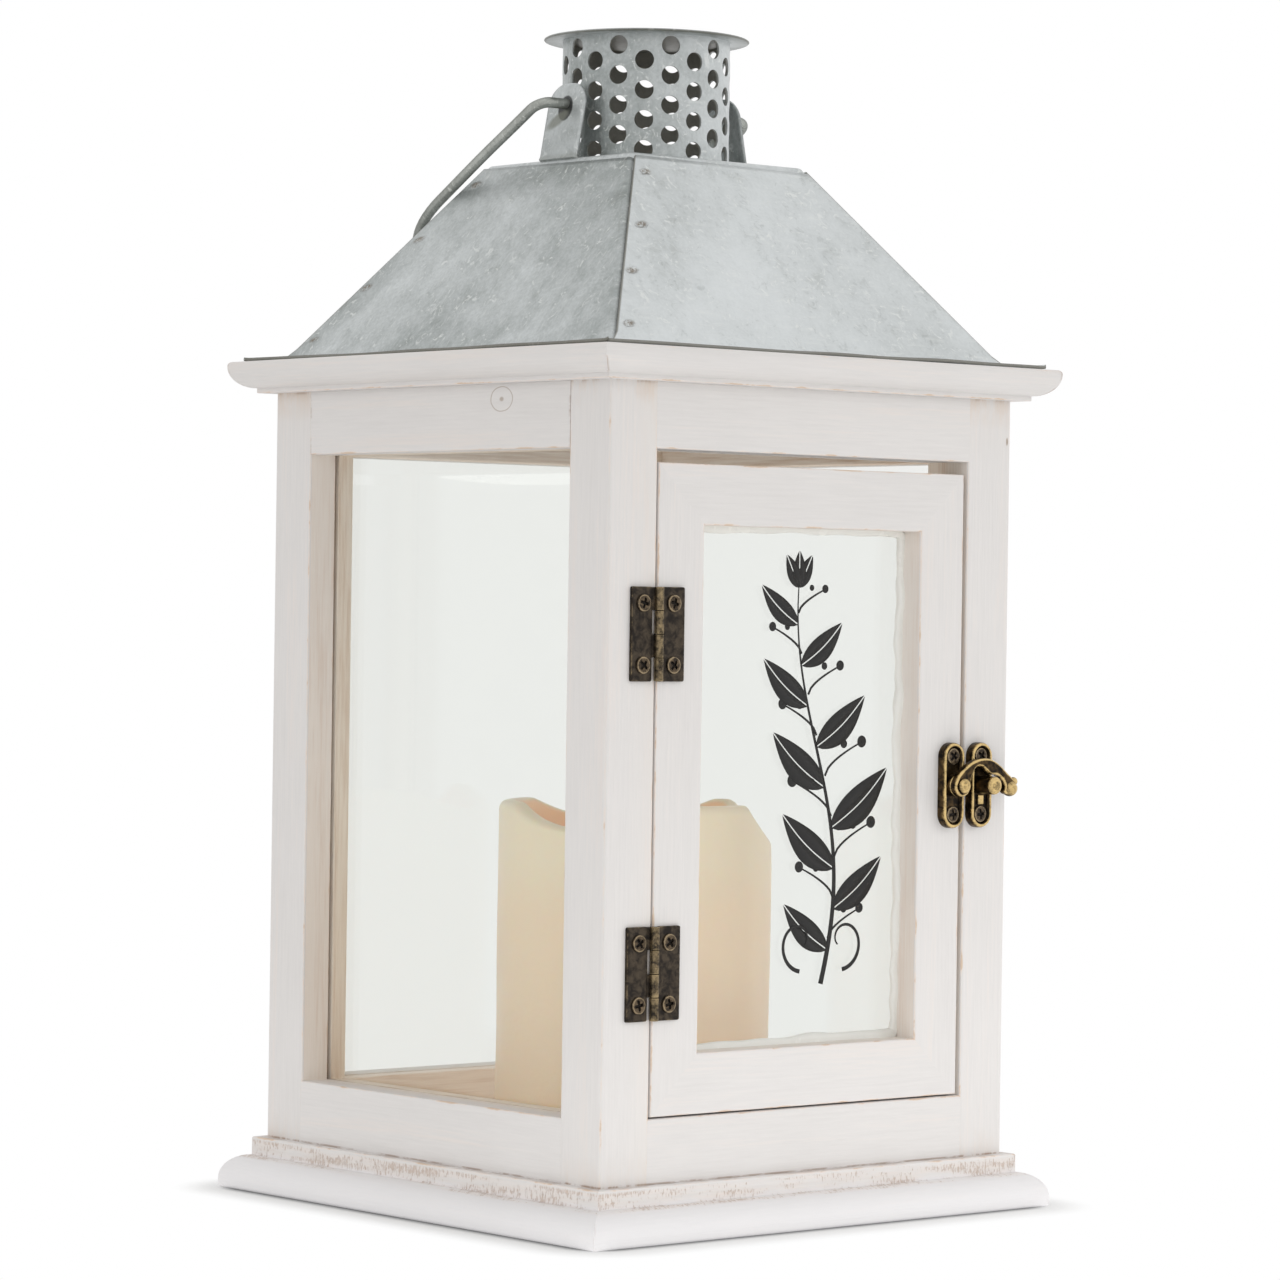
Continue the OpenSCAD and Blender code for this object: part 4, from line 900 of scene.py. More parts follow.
def roofPanel(k, name, tone):
    # Rows run from the brim up the slope, columns from the left hip to the right one and round it. The fold
    # is an arc m + (s - m) cos t + (e - m) sin t between this sheet and the inner face of the next one; the
    # strip lies under the next sheet.
    brim = np.array([0.0, 0.12, 3.0, 6.0, 7.2])
    slope = np.concatenate([[0.0, 0.8, 1.8, 3.5], np.linspace(6.0, slopeLength, 40)])
    out = np.concatenate([roof["brim"] - brim, roof["foot"] - slope * slopeCosine])
    height = np.concatenate([np.full(len(brim), roof["brimTop"]), roof["brimTop"] + slope * slopeSine])
    lift = np.concatenate([(1 - brim / brim[-1]) ** 2, np.zeros(len(slope))])[:, None]
    out, height = out[:, None], height[:, None]
    onSlope = np.concatenate([np.zeros(len(brim)), np.clip(slope / 3.5, 0, 1)])[:, None]
    hip = np.concatenate([out, -out, height], -1)                        # the corner with the next sheet
    across = np.array([1.0, 0.0, 0.0])
    nextWay = np.array([0.0, 1.0, 0.0])
    slant = np.array([-slopeCosine, slopeCosine, slopeSine])             # up along the hip
    slant = slant / np.linalg.norm(slant)
    toHip = across - slant * (across @ slant)
    toHip = toHip / np.linalg.norm(toHip)
    fromHip = nextWay - slant * (nextWay @ slant)
    fromHip = fromHip / np.linalg.norm(fromHip)
    turn = math.acos(np.clip(toHip @ fromHip, -1, 1))
    corner = hip - toHip * (roof["sheet"] * roof["ease"] / math.sin(turn)) * onSlope
    start, end = corner - toHip * roof["fold"], corner + fromHip * roof["fold"] * onSlope
    middle = start + end - corner
    t = np.linspace(0, math.pi / 2, 7)[None, :, None]
    arc = middle[:, None] + (start - middle)[:, None] * np.cos(t) + (end - middle)[:, None] * np.sin(t)
    strip = end[:, None] + fromHip * (np.array([0.5, 1.0])[None, :, None] * roof["strip"] * onSlope[:, None])
    left = np.concatenate([-out + roof["short"] * onSlope, -out, height], -1)
    share = np.concatenate([[0.0, 0.004, 0.015, 0.03], np.linspace(0.05, 0.95, 44), [0.97, 0.985, 1.0]])
    last = len(share)
    flat = left[:, None] + (start - left)[:, None] * share[None, :, None]
    points = np.concatenate([flat, arc[:, 1:], strip], 1)
    along = np.concatenate([brim - brim[-1], slope])[:, None]
    u = points[..., 0]
    # the sheet waves in its middle and lies flat near its hips, its foot and its top
    nearest = np.minimum(u - u[:, :1], u[:, last - 1:last] - u)
    calm = np.clip(nearest / 9.0, 0, 1) * np.clip((along - 3) / 9.0, 0, 1)
    calm = calm * np.clip((slopeLength - along - 3) / 8.0, 0, 1)
    normal = np.array([0.0, -slopeSine, slopeCosine])
    wave = ripple(u, along + 0 * u, 40 + k, size=38.0) * calm * roof["wave"]
    points = points + normal * wave[..., None]
    uneven = 0.35 * np.clip(u / roof["brim"] + 0.2, 0, 1) + 0.12 * ripple(u, 0 * u, 70 + k, size=60.0)
    points[..., 2] += lift * (0.25 + uneven)
    fromLeft = u - left[:, None, 0]
    # painted shade: the brim's edge and the sheet's left edge at the hip gap are marked to be painted dark
    inside = np.zeros(u.shape)
    inside[0] = 1.0
    inside[len(brim):, 0] = 1.0
    seam = np.exp(-np.abs(u - u[:, last - 1:last]) / 2.0) * 0.6
    extra = {
        "tone": np.full(u.size, tone),
        "seam": seam.ravel() * (onSlope + 0 * u).ravel(),
        "inside": inside.ravel(),
        "sheet": np.stack([fromLeft, along + 0 * u, 0 * u], -1).reshape(-1, 3) * mm,
    }
    zincPiece("roof_sheet_" + name, turned(points, k), extra, "roof_panel_" + name, roof["sheet"],
              smooth=roof["smooth"])


for k, side in enumerate(sides):
    roofPanel(k, side, roof["shadeTones"][side])

plate = {
    "half": 30.2, "corner": 1.6, "top": 275.7, "lipHalf": 33.6, "lipCorner": 2.6, "lipFoot": 270.75,
    "hole": 18.0, "sheet": 0.8, "round": 0.7, "tone": 0.3,
}


def squareRing(half, radius):
    # a square with rounded corners, as points (x, y)
    corners = [(x * half, y * half, radius, 0, 0) for x, y in ((-1, -1), (1, -1), (1, 1), (-1, 1))]
    return roundedOutline(corners, near=(3.0, 8.0, 16.0))[0]


def topPlate():
    # rings from the vent hole outwards: a circle, then a square that rounds over the edge and down the lip
    square = squareRing(plate["half"], plate["corner"])
    angle = np.arctan2(square[:, 1], square[:, 0])
    circle = np.stack([np.cos(angle), np.sin(angle)], -1)
    rows = [(circle * r, plate["top"]) for r in (plate["hole"], plate["hole"] + 0.3, 22.0, 26.0)]
    r = plate["round"]
    for t in np.linspace(0, math.pi / 2 * 0.86, 6):
        reach = r * math.sin(t) - r
        ring = squareRing(plate["half"] + reach, plate["corner"] + reach + r)
        rows.append((ring, plate["top"] - r + r * math.cos(t)))
    rows.append((squareRing(plate["lipHalf"], plate["lipCorner"]), plate["lipFoot"]))
    points = np.stack([np.concatenate([ring, np.full((len(ring), 1), z)], 1) for ring, z in rows])
    extra = {"tone": np.full(points.shape[0] * points.shape[1], plate["tone"]),
             "seam": np.repeat(np.linspace(0, 1, len(rows)) ** 6 * 0.7, points.shape[1])}
    zincPiece("roof_top_sheet", points, extra, "roof_top_plate", plate["sheet"], wrapCols=True)


topPlate()


def revolved(profile, turns, centre=(0.0, 0.0), wobble=None):
    # a profile of (radius, height) turned round an upright axis; the grid's rows go round
    angle = np.linspace(0, 2 * np.pi, turns, endpoint=False)[:, None]
    radius, height = np.array(profile, float).T[:, None]
    radius, height = radius + 0 * angle, height + 0 * angle
    if wobble:
        radius, height = wobble(angle, radius, height)
    return np.stack([centre[0] + radius * np.cos(angle), centre[1] + radius * np.sin(angle), height], -1)


# the tube: painted shade makes it darker towards its left side and at both edges, and dark inside
chimney = {"radius": 22.5, "skin": 0.7, "tone": 0.31, "slant": 0.22, "edges": 0.28}
stack = smoothCopy("chimney_tube", "chimney", "root", "galvanised_sheet", sheetZinc, bevel=0.0)
spots = np.empty(len(stack.data.vertices) * 3)
stack.data.vertices.foreach_get("co", spots)
spots = spots.reshape(-1, 3) / mm
sideways = spots[:, 0] / chimney["radius"]
depth = chimney["radius"] - np.linalg.norm(spots[:, :2], axis=1)
stackMarks = {
    "tone": chimney["tone"] - chimney["slant"] * sideways + chimney["edges"] * np.abs(sideways) ** 4,
    "inside": np.clip(depth / chimney["skin"], 0, 1),
}
for name, value in stackMarks.items():
    layer = stack.data.attributes.new(name, "FLOAT", "POINT")
    layer.data.foreach_set("value", value)

lid = {"low": 309.9, "high": 310.7, "turns": 96}
lidRows = np.array([
    # radius, height, tone, inside; tone and inside paint shade on the rolled rim and under the lid
    (0.0, lid["high"], 0.3, 0.0),
    (9.0, lid["high"], 0.3, 0.0),
    (19.0, lid["high"] - 0.05, 0.3, 0.0),
    (26.6, lid["high"] - 0.08, 0.3, 0.0),
    (27.2, lid["high"] - 0.1, 0.6, 0.0),
    (27.5, lid["high"] - 0.3, 0.9, 0.3),
    (27.55, lid["low"] + 0.3, 1.0, 0.8),
    (27.4, lid["low"] + 0.12, 1.1, 0.9),
    (27.0, lid["low"], 0.7, 0.3),
    (22.2, lid["low"], 0.35, 0.0),
    (21.9, lid["low"], 0.6, 1.0),
    (0.0, lid["low"], 0.6, 1.0),
])
points = revolved(lidRows[:, :2], lid["turns"])
lidMarks = {"tone": np.tile(lidRows[:, 2], lid["turns"]), "inside": np.tile(lidRows[:, 3], lid["turns"])}
newPiece("chimney_lid", "root", "galvanised_sheet", sheetZinc,
         [(points, quads(*points.shape[:2], wrapRows=True), lidMarks)], ("chimney_cap",))

ear = {
    "x": 29.9, "width": 14.8, "high": 21.4, "lean": 11.0, "foot": 4.5, "base": 275.7, "sheet": 0.8,
    # the right ear, whose seen side faces the chimney, is darker as painted shade
    "round": 6.0, "wave": 0.06, "shadeTones": {"left": 0.4, "right": 0.9},
}


def earPiece(side, name):
    # The strip's centre line runs along the foot, round a bend and up the lean. Near the top the half width
    # falls as the rounded corners do: w - r + sqrt(r^2 - v^2), with v the height above the middle of the arc.
    lean = math.radians(ear["lean"])
    half, r = ear["width"] / 2, ear["round"]
    straightUp = np.linspace(1.6, ear["high"] - r, 9)
    up = np.concatenate([straightUp, ear["high"] - r + r * np.sin(np.linspace(0.1, math.pi / 2, 12))])
    bend = np.array([(ear["foot"], 0.8), (2.6, 0.8), (1.5, 0.82), (0.55, 0.95), (0.14, 1.25)])
    x = np.concatenate([bend[:, 0], up * math.sin(lean)]) - ear["x"]
    z = np.concatenate([bend[:, 1], up * math.cos(lean)]) + ear["base"]
    over = np.clip(np.concatenate([np.zeros(len(bend)), up]) - (ear["high"] - r), 0, r)
    width = half - r + np.sqrt(np.maximum(r ** 2 - over ** 2, 0.0))
    t = np.linspace(-1, 1, 17)[None, :]
    grid = np.stack([x[:, None] + 0 * t, width[:, None] * t, z[:, None] + 0 * t], -1)
    grid[..., 0] += ripple(grid[..., 1], grid[..., 2], 7 + side, size=30.0) * ear["wave"]
    grid[..., 0] *= -side
    if side > 0:
        grid = grid[:, ::-1]
    count = grid.size // 3
    extra = {"tone": np.full(count, ear["shadeTones"][name]), "hole": np.ones(count),
             "seam": np.repeat(np.clip(1.2 - (z - ear["base"]) / 3, 0, 1), t.size)}
    zincPiece("ear_strip_" + name, grid, extra, "ear_" + name, ear["sheet"])


earPiece(-1, "left")
earPiece(1, "right")

bail = {
    "pivot": 291.3, "wire": 1.4, "stub": 24.9, "leg": 37.0, "length": 44.0, "bend": 4.0, "drop": 29.5,
    "wave": 0.18, "tone": 0.45,
}


def bailPiece():
    # half a path in the bail's own plane, then its mirror image; a circle is carried along it
    leg, bend, length = bail["leg"], bail["bend"], bail["length"]
    turn = np.linspace(-90, 0, 9)[1:] * math.pi / 180
    arc = np.linspace(0, math.pi / 2, 22)[1:]
    x = np.concatenate([np.linspace(bail["stub"], leg - bend, 5), leg - bend + bend * np.cos(turn),
                        np.full(11, leg), leg * np.cos(arc)])
    q = np.concatenate([np.zeros(5), bend + bend * np.sin(turn),
                        bend + np.linspace(4, length, 11), bend + length + leg * np.sin(arc)])
    x, q = np.concatenate([x, -x[-2::-1]]), np.concatenate([q, q[-2::-1]])
    reach = np.clip((q - 6) / 20, 0, 1)
    x = x + ripple(q, x, 3, size=60.0) * bail["wave"] * reach
    tangent = np.stack([np.gradient(x), np.gradient(q)], -1)
    tangent /= np.linalg.norm(tangent, axis=1, keepdims=True)
    side = np.stack([-tangent[:, 1], tangent[:, 0]], -1)
    angle = np.linspace(0, 2 * np.pi, 20, endpoint=False)[None, :]
    radius = bail["wire"] * (1 + 0 * q[:, None])
    px = x[:, None] + side[:, :1] * radius * np.cos(angle)
    pq = q[:, None] + side[:, 1:] * radius * np.cos(angle)
    lift = radius * np.sin(angle)
    fall = math.radians(bail["drop"])
    grid = np.stack([px, pq * math.cos(fall) + lift * math.sin(fall),
                     bail["pivot"] - pq * math.sin(fall) + lift * math.cos(fall)], -1)
    marks = {"tone": np.full(grid.size // 3, bail["tone"])}
    newPiece("bail_wire", "bail", "galvanised_wire", wireZinc, [(grid, tube(*grid.shape[:2]), marks)],
             ("bail_handle",), smooth=50.0)


bailPiece()
print("the roof, chimney and bail are built")

# the hinges, the latch and the screws

def onWall(x, z):
    # from (across, up, out) about a point on the front of the case to (x, y, z)
    return lambda a, b, c: (a + x, -case["half"] - c, b + z)


def ringStack(outline, rings, place):
    # A flat-topped solid: closed outlines at rising heights. rings are (inset, height, wear). An outline is a
    # function of the inset, or points that are drawn in along their own normals.
    inset, height, wear = np.array(rings, float).T
    if callable(outline):
        loops = [outline(step) for step in inset]
    else:
        run = np.roll(outline, -1, 0) - np.roll(outline, 1, 0)
        run /= np.maximum(np.linalg.norm(run, axis=1, keepdims=True), 1e-9)
        x, y = outline.T
        area = 0.5 * np.sum(x * np.roll(y, -1) - np.roll(x, -1) * y)
        normal = np.stack([run[:, 1], -run[:, 0]], -1) * math.copysign(1.0, area)
        loops = [outline - normal * step for step in inset]
    n = len(loops[0])
    rows = np.stack([np.concatenate([loop, np.full((n, 1), z)], 1) for loop, z in zip(loops, height)])
    points = np.stack(place(rows[..., 0], rows[..., 1], rows[..., 2]), -1)
    return points, tube(len(rings), n), {"edge": np.repeat(wear, n)}


hinge = {
    "axisX": -54.05, "axisY": -71.2, "middles": {"top": 151.6, "bottom": 66.7}, "high": 23.7, "leaf": 8.7,
    "thick": 0.9, "knuckle": 1.2, "gap": 0.15,
    "clear": {-1: 0.8, 1: 0.3},         # from the knuckles to the leaf on the case and on the door
}


def box(xa, xb, za, zb, q):
    # a rectangle with rounded corners, drawn in evenly by an inset
    def outline(inset):
        # the radius shrinks with the inset
        r = max(q - inset, 0.05)
        left, right, low, high = xa + inset, xb - inset, za + inset, zb - inset
        corners = ((left, low), (right, low), (right, high), (left, high))
        return roundedOutline([(x, z, r, 0, 0) for x, z in corners])[0]
    return outline


def hingeLeaf(level, side, parity):
    # a rounded leaf on the wood and two knuckles with their wrapping strips
    z, r, clear = hinge["middles"][level], hinge["knuckle"], hinge["clear"][side]
    x0 = hinge["axisX"] + (r + clear if side > 0 else -hinge["leaf"])
    x1 = hinge["axisX"] + (hinge["leaf"] if side > 0 else -r - clear)
    onFace = onWall(0.0, 0.0)
    t, half = hinge["thick"], hinge["high"] / 2
    rings = [(0.0, 0.0, 0.0), (0.0, t - 0.25, 0.25), (0.05, t - 0.06, 0.75), (0.2, t, 0.6), (0.6, t, 0.2),
             (1.4, t, 0.0), (2.6, t, 0.0)]
    parts = [ringStack(box(x0, x1, z - half, z + half, 0.5), rings, onFace)]
    step = hinge["high"] / 4
    strip = [(0.0, 0.1, 0.2), (0.0, t - 0.1, 0.4), (0.1, t, 0.6)]
    for i in (parity, parity + 2):
        low = z + half - (i + 1) * step + hinge["gap"] / 2
        high = low + step - hinge["gap"]
        profile = [(0.0, low), (0.72, low), (r - 0.18, low), (r - 0.04, low + 0.06), (r, low + 0.25),
                   (r, (low + high) / 2), (r, high - 0.25), (r - 0.04, high - 0.06), (r - 0.18, high),
                   (0.72, high), (0.0, high)]
        turns = 28
        points = revolved(profile, turns, (hinge["axisX"], hinge["axisY"]))
        wear = np.tile([0.4, 0.6, 0.9, 1.0, 0.85, 0.7, 0.85, 1.0, 0.9, 0.6, 0.4], turns)
        parts.append((points, quads(turns, len(profile), wrapRows=True), {"edge": wear}))
        xa, xb = sorted((hinge["axisX"], hinge["axisX"] + side * (r + clear + 0.4)))
        parts.append(ringStack(box(xa, xb, low, high, 0.1), strip, onFace))
    which, body = ("frame", "root") if side < 0 else ("door", "door")
    newPiece(f"hinge_{which}_{level}", body, "bronzed_hinge", bronze, parts, (f"hinge_{which}_leaf_{level}",))


for level in ("top", "bottom"):
    hingeLeaf(level, -1, 0)
    hingeLeaf(level, 1, 1)
smoothCopy("hinge_pin_pair", "hinge_pins", "root", "bronzed_hinge", bronze, bevel=0.1)

latch = {
    "z": 112.5, "doorX": 48.5, "postX": 58.7, "wide": 7.6, "high": 22.6, "thick": 2.6, "field": 1.6,
    "stud": 2.4, "armBack": -73.9,
}


def stadium(wide, high):
    # two straight sides and two half circles: (0, +-(high - wide) / 2) + (cos t, sin t) (wide / 2 - inset)
    count = 72
    angle = np.linspace(0, 2 * np.pi, count, endpoint=False) + np.pi / count
    turn = np.stack([np.cos(angle), np.sin(angle)], -1)
    middle = np.stack([0 * angle, np.sign(np.sin(angle)) * (high - wide) / 2], -1)
    return lambda inset: middle + turn * (wide / 2 - inset)


def domed(radius, low, high, ease, wall):
    # a short round boss that stands out from the wall; its edge is radius - ease + ease cos t
    count = 40
    t = np.linspace(0, math.pi / 2, 6)
    r = np.concatenate([[0.0, radius, radius], radius - ease + ease * np.cos(t), [radius * 0.45, 0.0]])
    h = np.concatenate([[low, low, high - ease - 0.05], high - ease + ease * np.sin(t),
                        [high + ease * 0.16, high + ease * 0.2]])
    wear = np.concatenate([[0.1, 0.1, 0.5], np.linspace(0.8, 1.0, 6), [0.85, 0.85]])
    angle = np.linspace(0, 2 * np.pi, count, endpoint=False)[:, None]
    grid = np.stack(wall(r * np.cos(angle), r * np.sin(angle), h + 0 * angle), -1)
    return grid, quads(count, len(r), wrapRows=True), {"edge": np.tile(wear, count)}


screw = {
    "radius": 2.2, "high": 0.5, "dome": 0.18, "arm": 1.3, "slot": 0.34, "deep": 0.55, "seat": 1.6,
    "in": 5.0, "gap": 15.5, "plateIn": 7.7,     # where they sit in a leaf and in a plate
}


def screwPart(x, z, seat, spin):
    # A low domed head on a polar grid: seat + high + dome (1 - (ring / radius)^2), less the rounded rim and
    # the recess. The cross recess is the smaller of the two distances from its arms.
    radius, arm, slot = screw["radius"], screw["arm"], screw["slot"]
    ring = np.array([0.0, 0.12, 0.25, 0.38, 0.5, 0.62, 0.74, 0.86, 0.98, 1.1, 1.22, 1.34, 1.46, 1.62, 1.8,
                     1.95, 2.08, 2.17, radius, radius, radius])
    turns = 64
    angle = np.linspace(0, 2 * np.pi, turns, endpoint=False)[:, None]
    a, b = ring * np.cos(angle), ring * np.sin(angle)
    u, v = a * math.cos(spin) + b * math.sin(spin), b * math.cos(spin) - a * math.sin(spin)
    across = np.minimum(np.maximum(abs(u) - arm, abs(v) - slot), np.maximum(abs(v) - arm, abs(u) - slot))
    sunk = np.clip(0.5 - across / 0.16, 0, 1) * np.clip((radius - 0.2 - ring) / 0.3, 0, 1)
    rim = np.clip((ring - radius + 0.25) / 0.25, 0, 1)
    dome = screw["dome"] * (1 - (ring / radius) ** 2)
    high = seat + screw["high"] + dome - 0.14 * rim ** 2 - sunk * screw["deep"]
    high[:, -2] -= 0.2
    high[:, -1] = seat - 0.1
    # the recess gets negative wear, which paints it near black as painted shade
    wear = 0.35 + 0.75 * np.clip(1 - abs(ring - radius + 0.25) / 0.3, 0, 1) - 1.6 * sunk
    wear[:, -2:] = 0.0
    grid = np.stack([x + a, -case["half"] - high, z + b], -1)
    back = tuple(range(len(ring) - 1, grid.size // 3, len(ring)))
    return grid, list(quads(turns, len(ring), wrapRows=True)) + [back], {"edge": wear.ravel()}


def screwSet(name, node, body, side, plateX):
    # two screws in each hinge leaf on one side of the axis, and two in a latch plate
    x = hinge["axisX"] + side * screw["in"]
    parts = [screwPart(x, z + end * screw["gap"] / 2, hinge["thick"], 0.3 + 0.9 * k + end)
             for k, z in enumerate(hinge["middles"].values()) for end in (-1, 1)]
    parts += [screwPart(plateX, latch["z"] + end * screw["plateIn"], screw["seat"], 0.5 + end * 0.4)
              for end in (-1, 1)]
    newPiece(name, body, "bronzed_screw", screwMetal, parts, (node,), smooth=60.0)


def plateParts(x):
    # a long round plate with a raised rim, sunk in its middle
    t, f = latch["thick"], latch["field"]
    # negative wear on the sunk field paints it near black as a painted dark reflection
    rings = [(0.0, 0.0, 0.1), (0.0, 1.2, 0.25), (0.05, t - 0.55, 0.55), (0.3, t - 0.12, 1.0), (0.6, t, 1.0),
             (0.85, t - 0.08, 0.9), (1.15, t - 0.5, 0.1), (1.35, f, -0.45), (2.2, f, -0.2)]
    return ringStack(stadium(latch["wide"], latch["high"]), rings, onWall(x, latch["z"]))


screwSet("case_screw_set", "case_screws", "root", -1, latch["postX"])
screwSet("door_screw_set", "door_screws", "door", 1, latch["doorX"])
# Both plates with their bosses, and the rivet. A boss is (radius, from, to, ease), out from the case.
bosses = {
    "door": (2.9, 1.55, 3.86, 0.25),
    "stud": (latch["stud"], 1.55, 7.9, 0.9),
    "rivetHead": (1.95, 5.98, 6.9, 0.6),
    "rivetShank": (1.2, 0.3, 6.2, 0.1),
}
doorWall, postWall = onWall(latch["doorX"], latch["z"]), onWall(latch["postX"], latch["z"])
newPiece("latch_plate_on_door", "door", "antique_brass", brass,
         [plateParts(latch["doorX"]), domed(*bosses["door"], doorWall)], ("latch_door_plate",))
lugCorners = ((-1, -5.2), (1, -5.2), (1, -2.6), (-1, -2.6))
lug = roundedOutline([(x, z, 0.3, 0, 0) for x, z in lugCorners])[0]
lugRings = [(0.0, 1.55, 0.2), (0.0, 2.0, 0.7), (0.2, 2.2, 1.0)]
newPiece("latch_plate_on_post", "root", "antique_brass", brass,
         [plateParts(latch["postX"]), domed(*bosses["stud"], postWall), ringStack(lug, lugRings, postWall)],
         ("latch_post_plate",))
newPiece("latch_rivet_head", "door", "antique_brass", brass,
         [domed(*bosses["rivetHead"], doorWall), domed(*bosses["rivetShank"], doorWall)], ("latch_rivet",))

# the arm's outline from above its pivot over its back to the tip, and home along its inner side
armOuter = [(-2.6, 0.9), (-1.4, 2.85), (0.5, 4.5), (3.8, 6.4), (7.6, 7.2), (10.9, 6.8), (14.0, 5.2),
            (16.6, 3.2), (18.5, 1.8)]
armTip = [(19.6, 0.3), (19.5, -1.4), (18.2, -2.4), (16.4, -2.4)]
armInner = [(15.4, -1.6), (15.6, -0.4), (15.1, 0.9), (13.7, 2.2), (12.3, 2.75), (9.9, 3.0), (8.8, 3.7),
            (7.6, 4.7), (6.2, 5.0), (4.7, 4.6), (3.55, 2.7), (2.85, 0.6), (2.3, -1.7), (0.9, -2.75),
            (-0.9, -2.75), (-2.3, -1.7), (-2.85, -0.4)]


def eased(points, count):
    # a closed line through points by cubic segments whose slopes come from the neighbours, then spaced evenly
    p = np.array(points, float)
    back, here, ahead, far = np.roll(p, 1, 0), p, np.roll(p, -1, 0), np.roll(p, -2, 0)
    t = np.linspace(0, 1, 12, endpoint=False)[None, :, None]
    back, here, ahead, far = back[:, None], here[:, None], ahead[:, None], far[:, None]
    fine = 0.5 * (2 * here + (ahead - back) * t + (2 * back - 5 * here + 4 * ahead - far) * t ** 2
                  + (3 * here - 3 * ahead + far - back) * t ** 3)
    fine = fine.reshape(-1, 2)
    loop = np.concatenate([fine, fine[:1]])
    run = np.concatenate([[0], np.cumsum(np.linalg.norm(np.diff(loop, axis=0), axis=1))])
    at = np.linspace(0, run[-1], count, endpoint=False)
    return np.stack([np.interp(at, run, loop[:, 0]), np.interp(at, run, loop[:, 1])], -1)


def ballPart(x, z, out, radius, wall):
    # a full sphere: the radius shrinks as the cosine of its latitude
    turns = 28
    lat = np.linspace(-math.pi / 2, math.pi / 2, 15)
    angle = np.linspace(0, 2 * np.pi, turns, endpoint=False)[:, None]
    reach, rise = radius * np.cos(lat), radius * np.sin(lat) + 0 * angle
    grid = np.stack(wall(x + reach * np.cos(angle), z + reach * np.sin(angle), out + rise), -1)
    wear = np.tile(np.clip(0.55 + 0.5 * np.sin(lat), 0, 1), turns)
    return grid, quads(turns, len(lat), wrapRows=True), {"edge": wear}


armFrom = -latch["armBack"] - case["half"]
armRings = [(0.0, armFrom, 0.3), (0.0, armFrom + 1.2, 0.55), (0.12, armFrom + 1.7, 1.0),
            (0.4, armFrom + 1.95, 1.0), (0.62, armFrom + 2.0, 0.6), (0.85, armFrom + 1.98, 0.0)]
newPiece("latch_swing_arm", "latch_arm", "antique_brass", brass,
         [ringStack(eased(armOuter + armTip + armInner, 190), armRings, doorWall),
          ballPart(18.0, -0.9, armFrom + 1.0, 2.15, doorWall),
          ballPart(19.3, 0.9, armFrom + 1.0, 1.2, doorWall)],
         ("latch_arm",), smooth=50.0)
print("hinges, latch and screws are built")

# the sealant round the door's pane

bead = {"x0": -38.3, "x1": 37.4, "z0": 46.1, "z1": 179.2, "corner": 1.2, "pane": -62.2, "wide": 1.7}


def beadPiece():
    # a quarter-round section carried round the opening; its reach over the glass and up the wood wanders
    x0, x1, z0, z1 = bead["x0"], bead["x1"], bead["z0"], bead["z1"]
    corners = [(x, z, bead["corner"], 0, 0) for x, z in ((x0, z0), (x1, z0), (x1, z1), (x0, z1))]
    path = roundedOutline(corners, near=tuple(np.linspace(1.5, 66.0, 44)))[0]
    run = np.roll(path, -1, 0) - np.roll(path, 1, 0)
    run /= np.maximum(np.linalg.norm(run, axis=1, keepdims=True), 1e-9)
    inwards = np.stack([-run[:, 1], run[:, 0]], -1)
    wander = ripple(path[:, 0], path[:, 1], 12, size=14.0)[:, None]
    wide = bead["wide"] * (1 + 0.28 * wander)
    tall = bead["wide"] * (0.8 + 0.2 * ripple(path[:, 0], path[:, 1], 15, size=11.0)[:, None])
    t = np.linspace(0, math.pi / 2, 6)[None, :]
    reach = np.concatenate([np.zeros_like(wide), wide * np.sin(t)[:, ::-1] ** 0.8], 1)
    lift = np.concatenate([np.zeros_like(wide), tall * np.cos(t)[:, ::-1] ** 0.8], 1)
    grid = np.stack([path[:, :1] + inwards[:, :1] * reach, bead["pane"] - lift,
                     path[:, 1:] + inwards[:, 1:] * reach], -1)
    faces = quads(*grid.shape[:2], wrapRows=True, wrapCols=True)
    newPiece("door_bead", "door", "sealant", beadClear, [(grid, faces, {})], ("door_sealant",), smooth=60.0)


beadPiece()

# the candle

candle = {
    "radius": 36.0, "foot": 13.8, "top": 106.3, "wall": 5.0, "well": 89.3, "hollow": 86.3, "stem": 2.1,
    "wave": 0.22, "rimMiddle": 33.5,
    # the rim's dips: direction in degrees, depth and radius of the scoop
    "dips": ((207, 7.0, 43.0), (58, 6.5, 55.0), (323, 11.0, 25.0)),
}


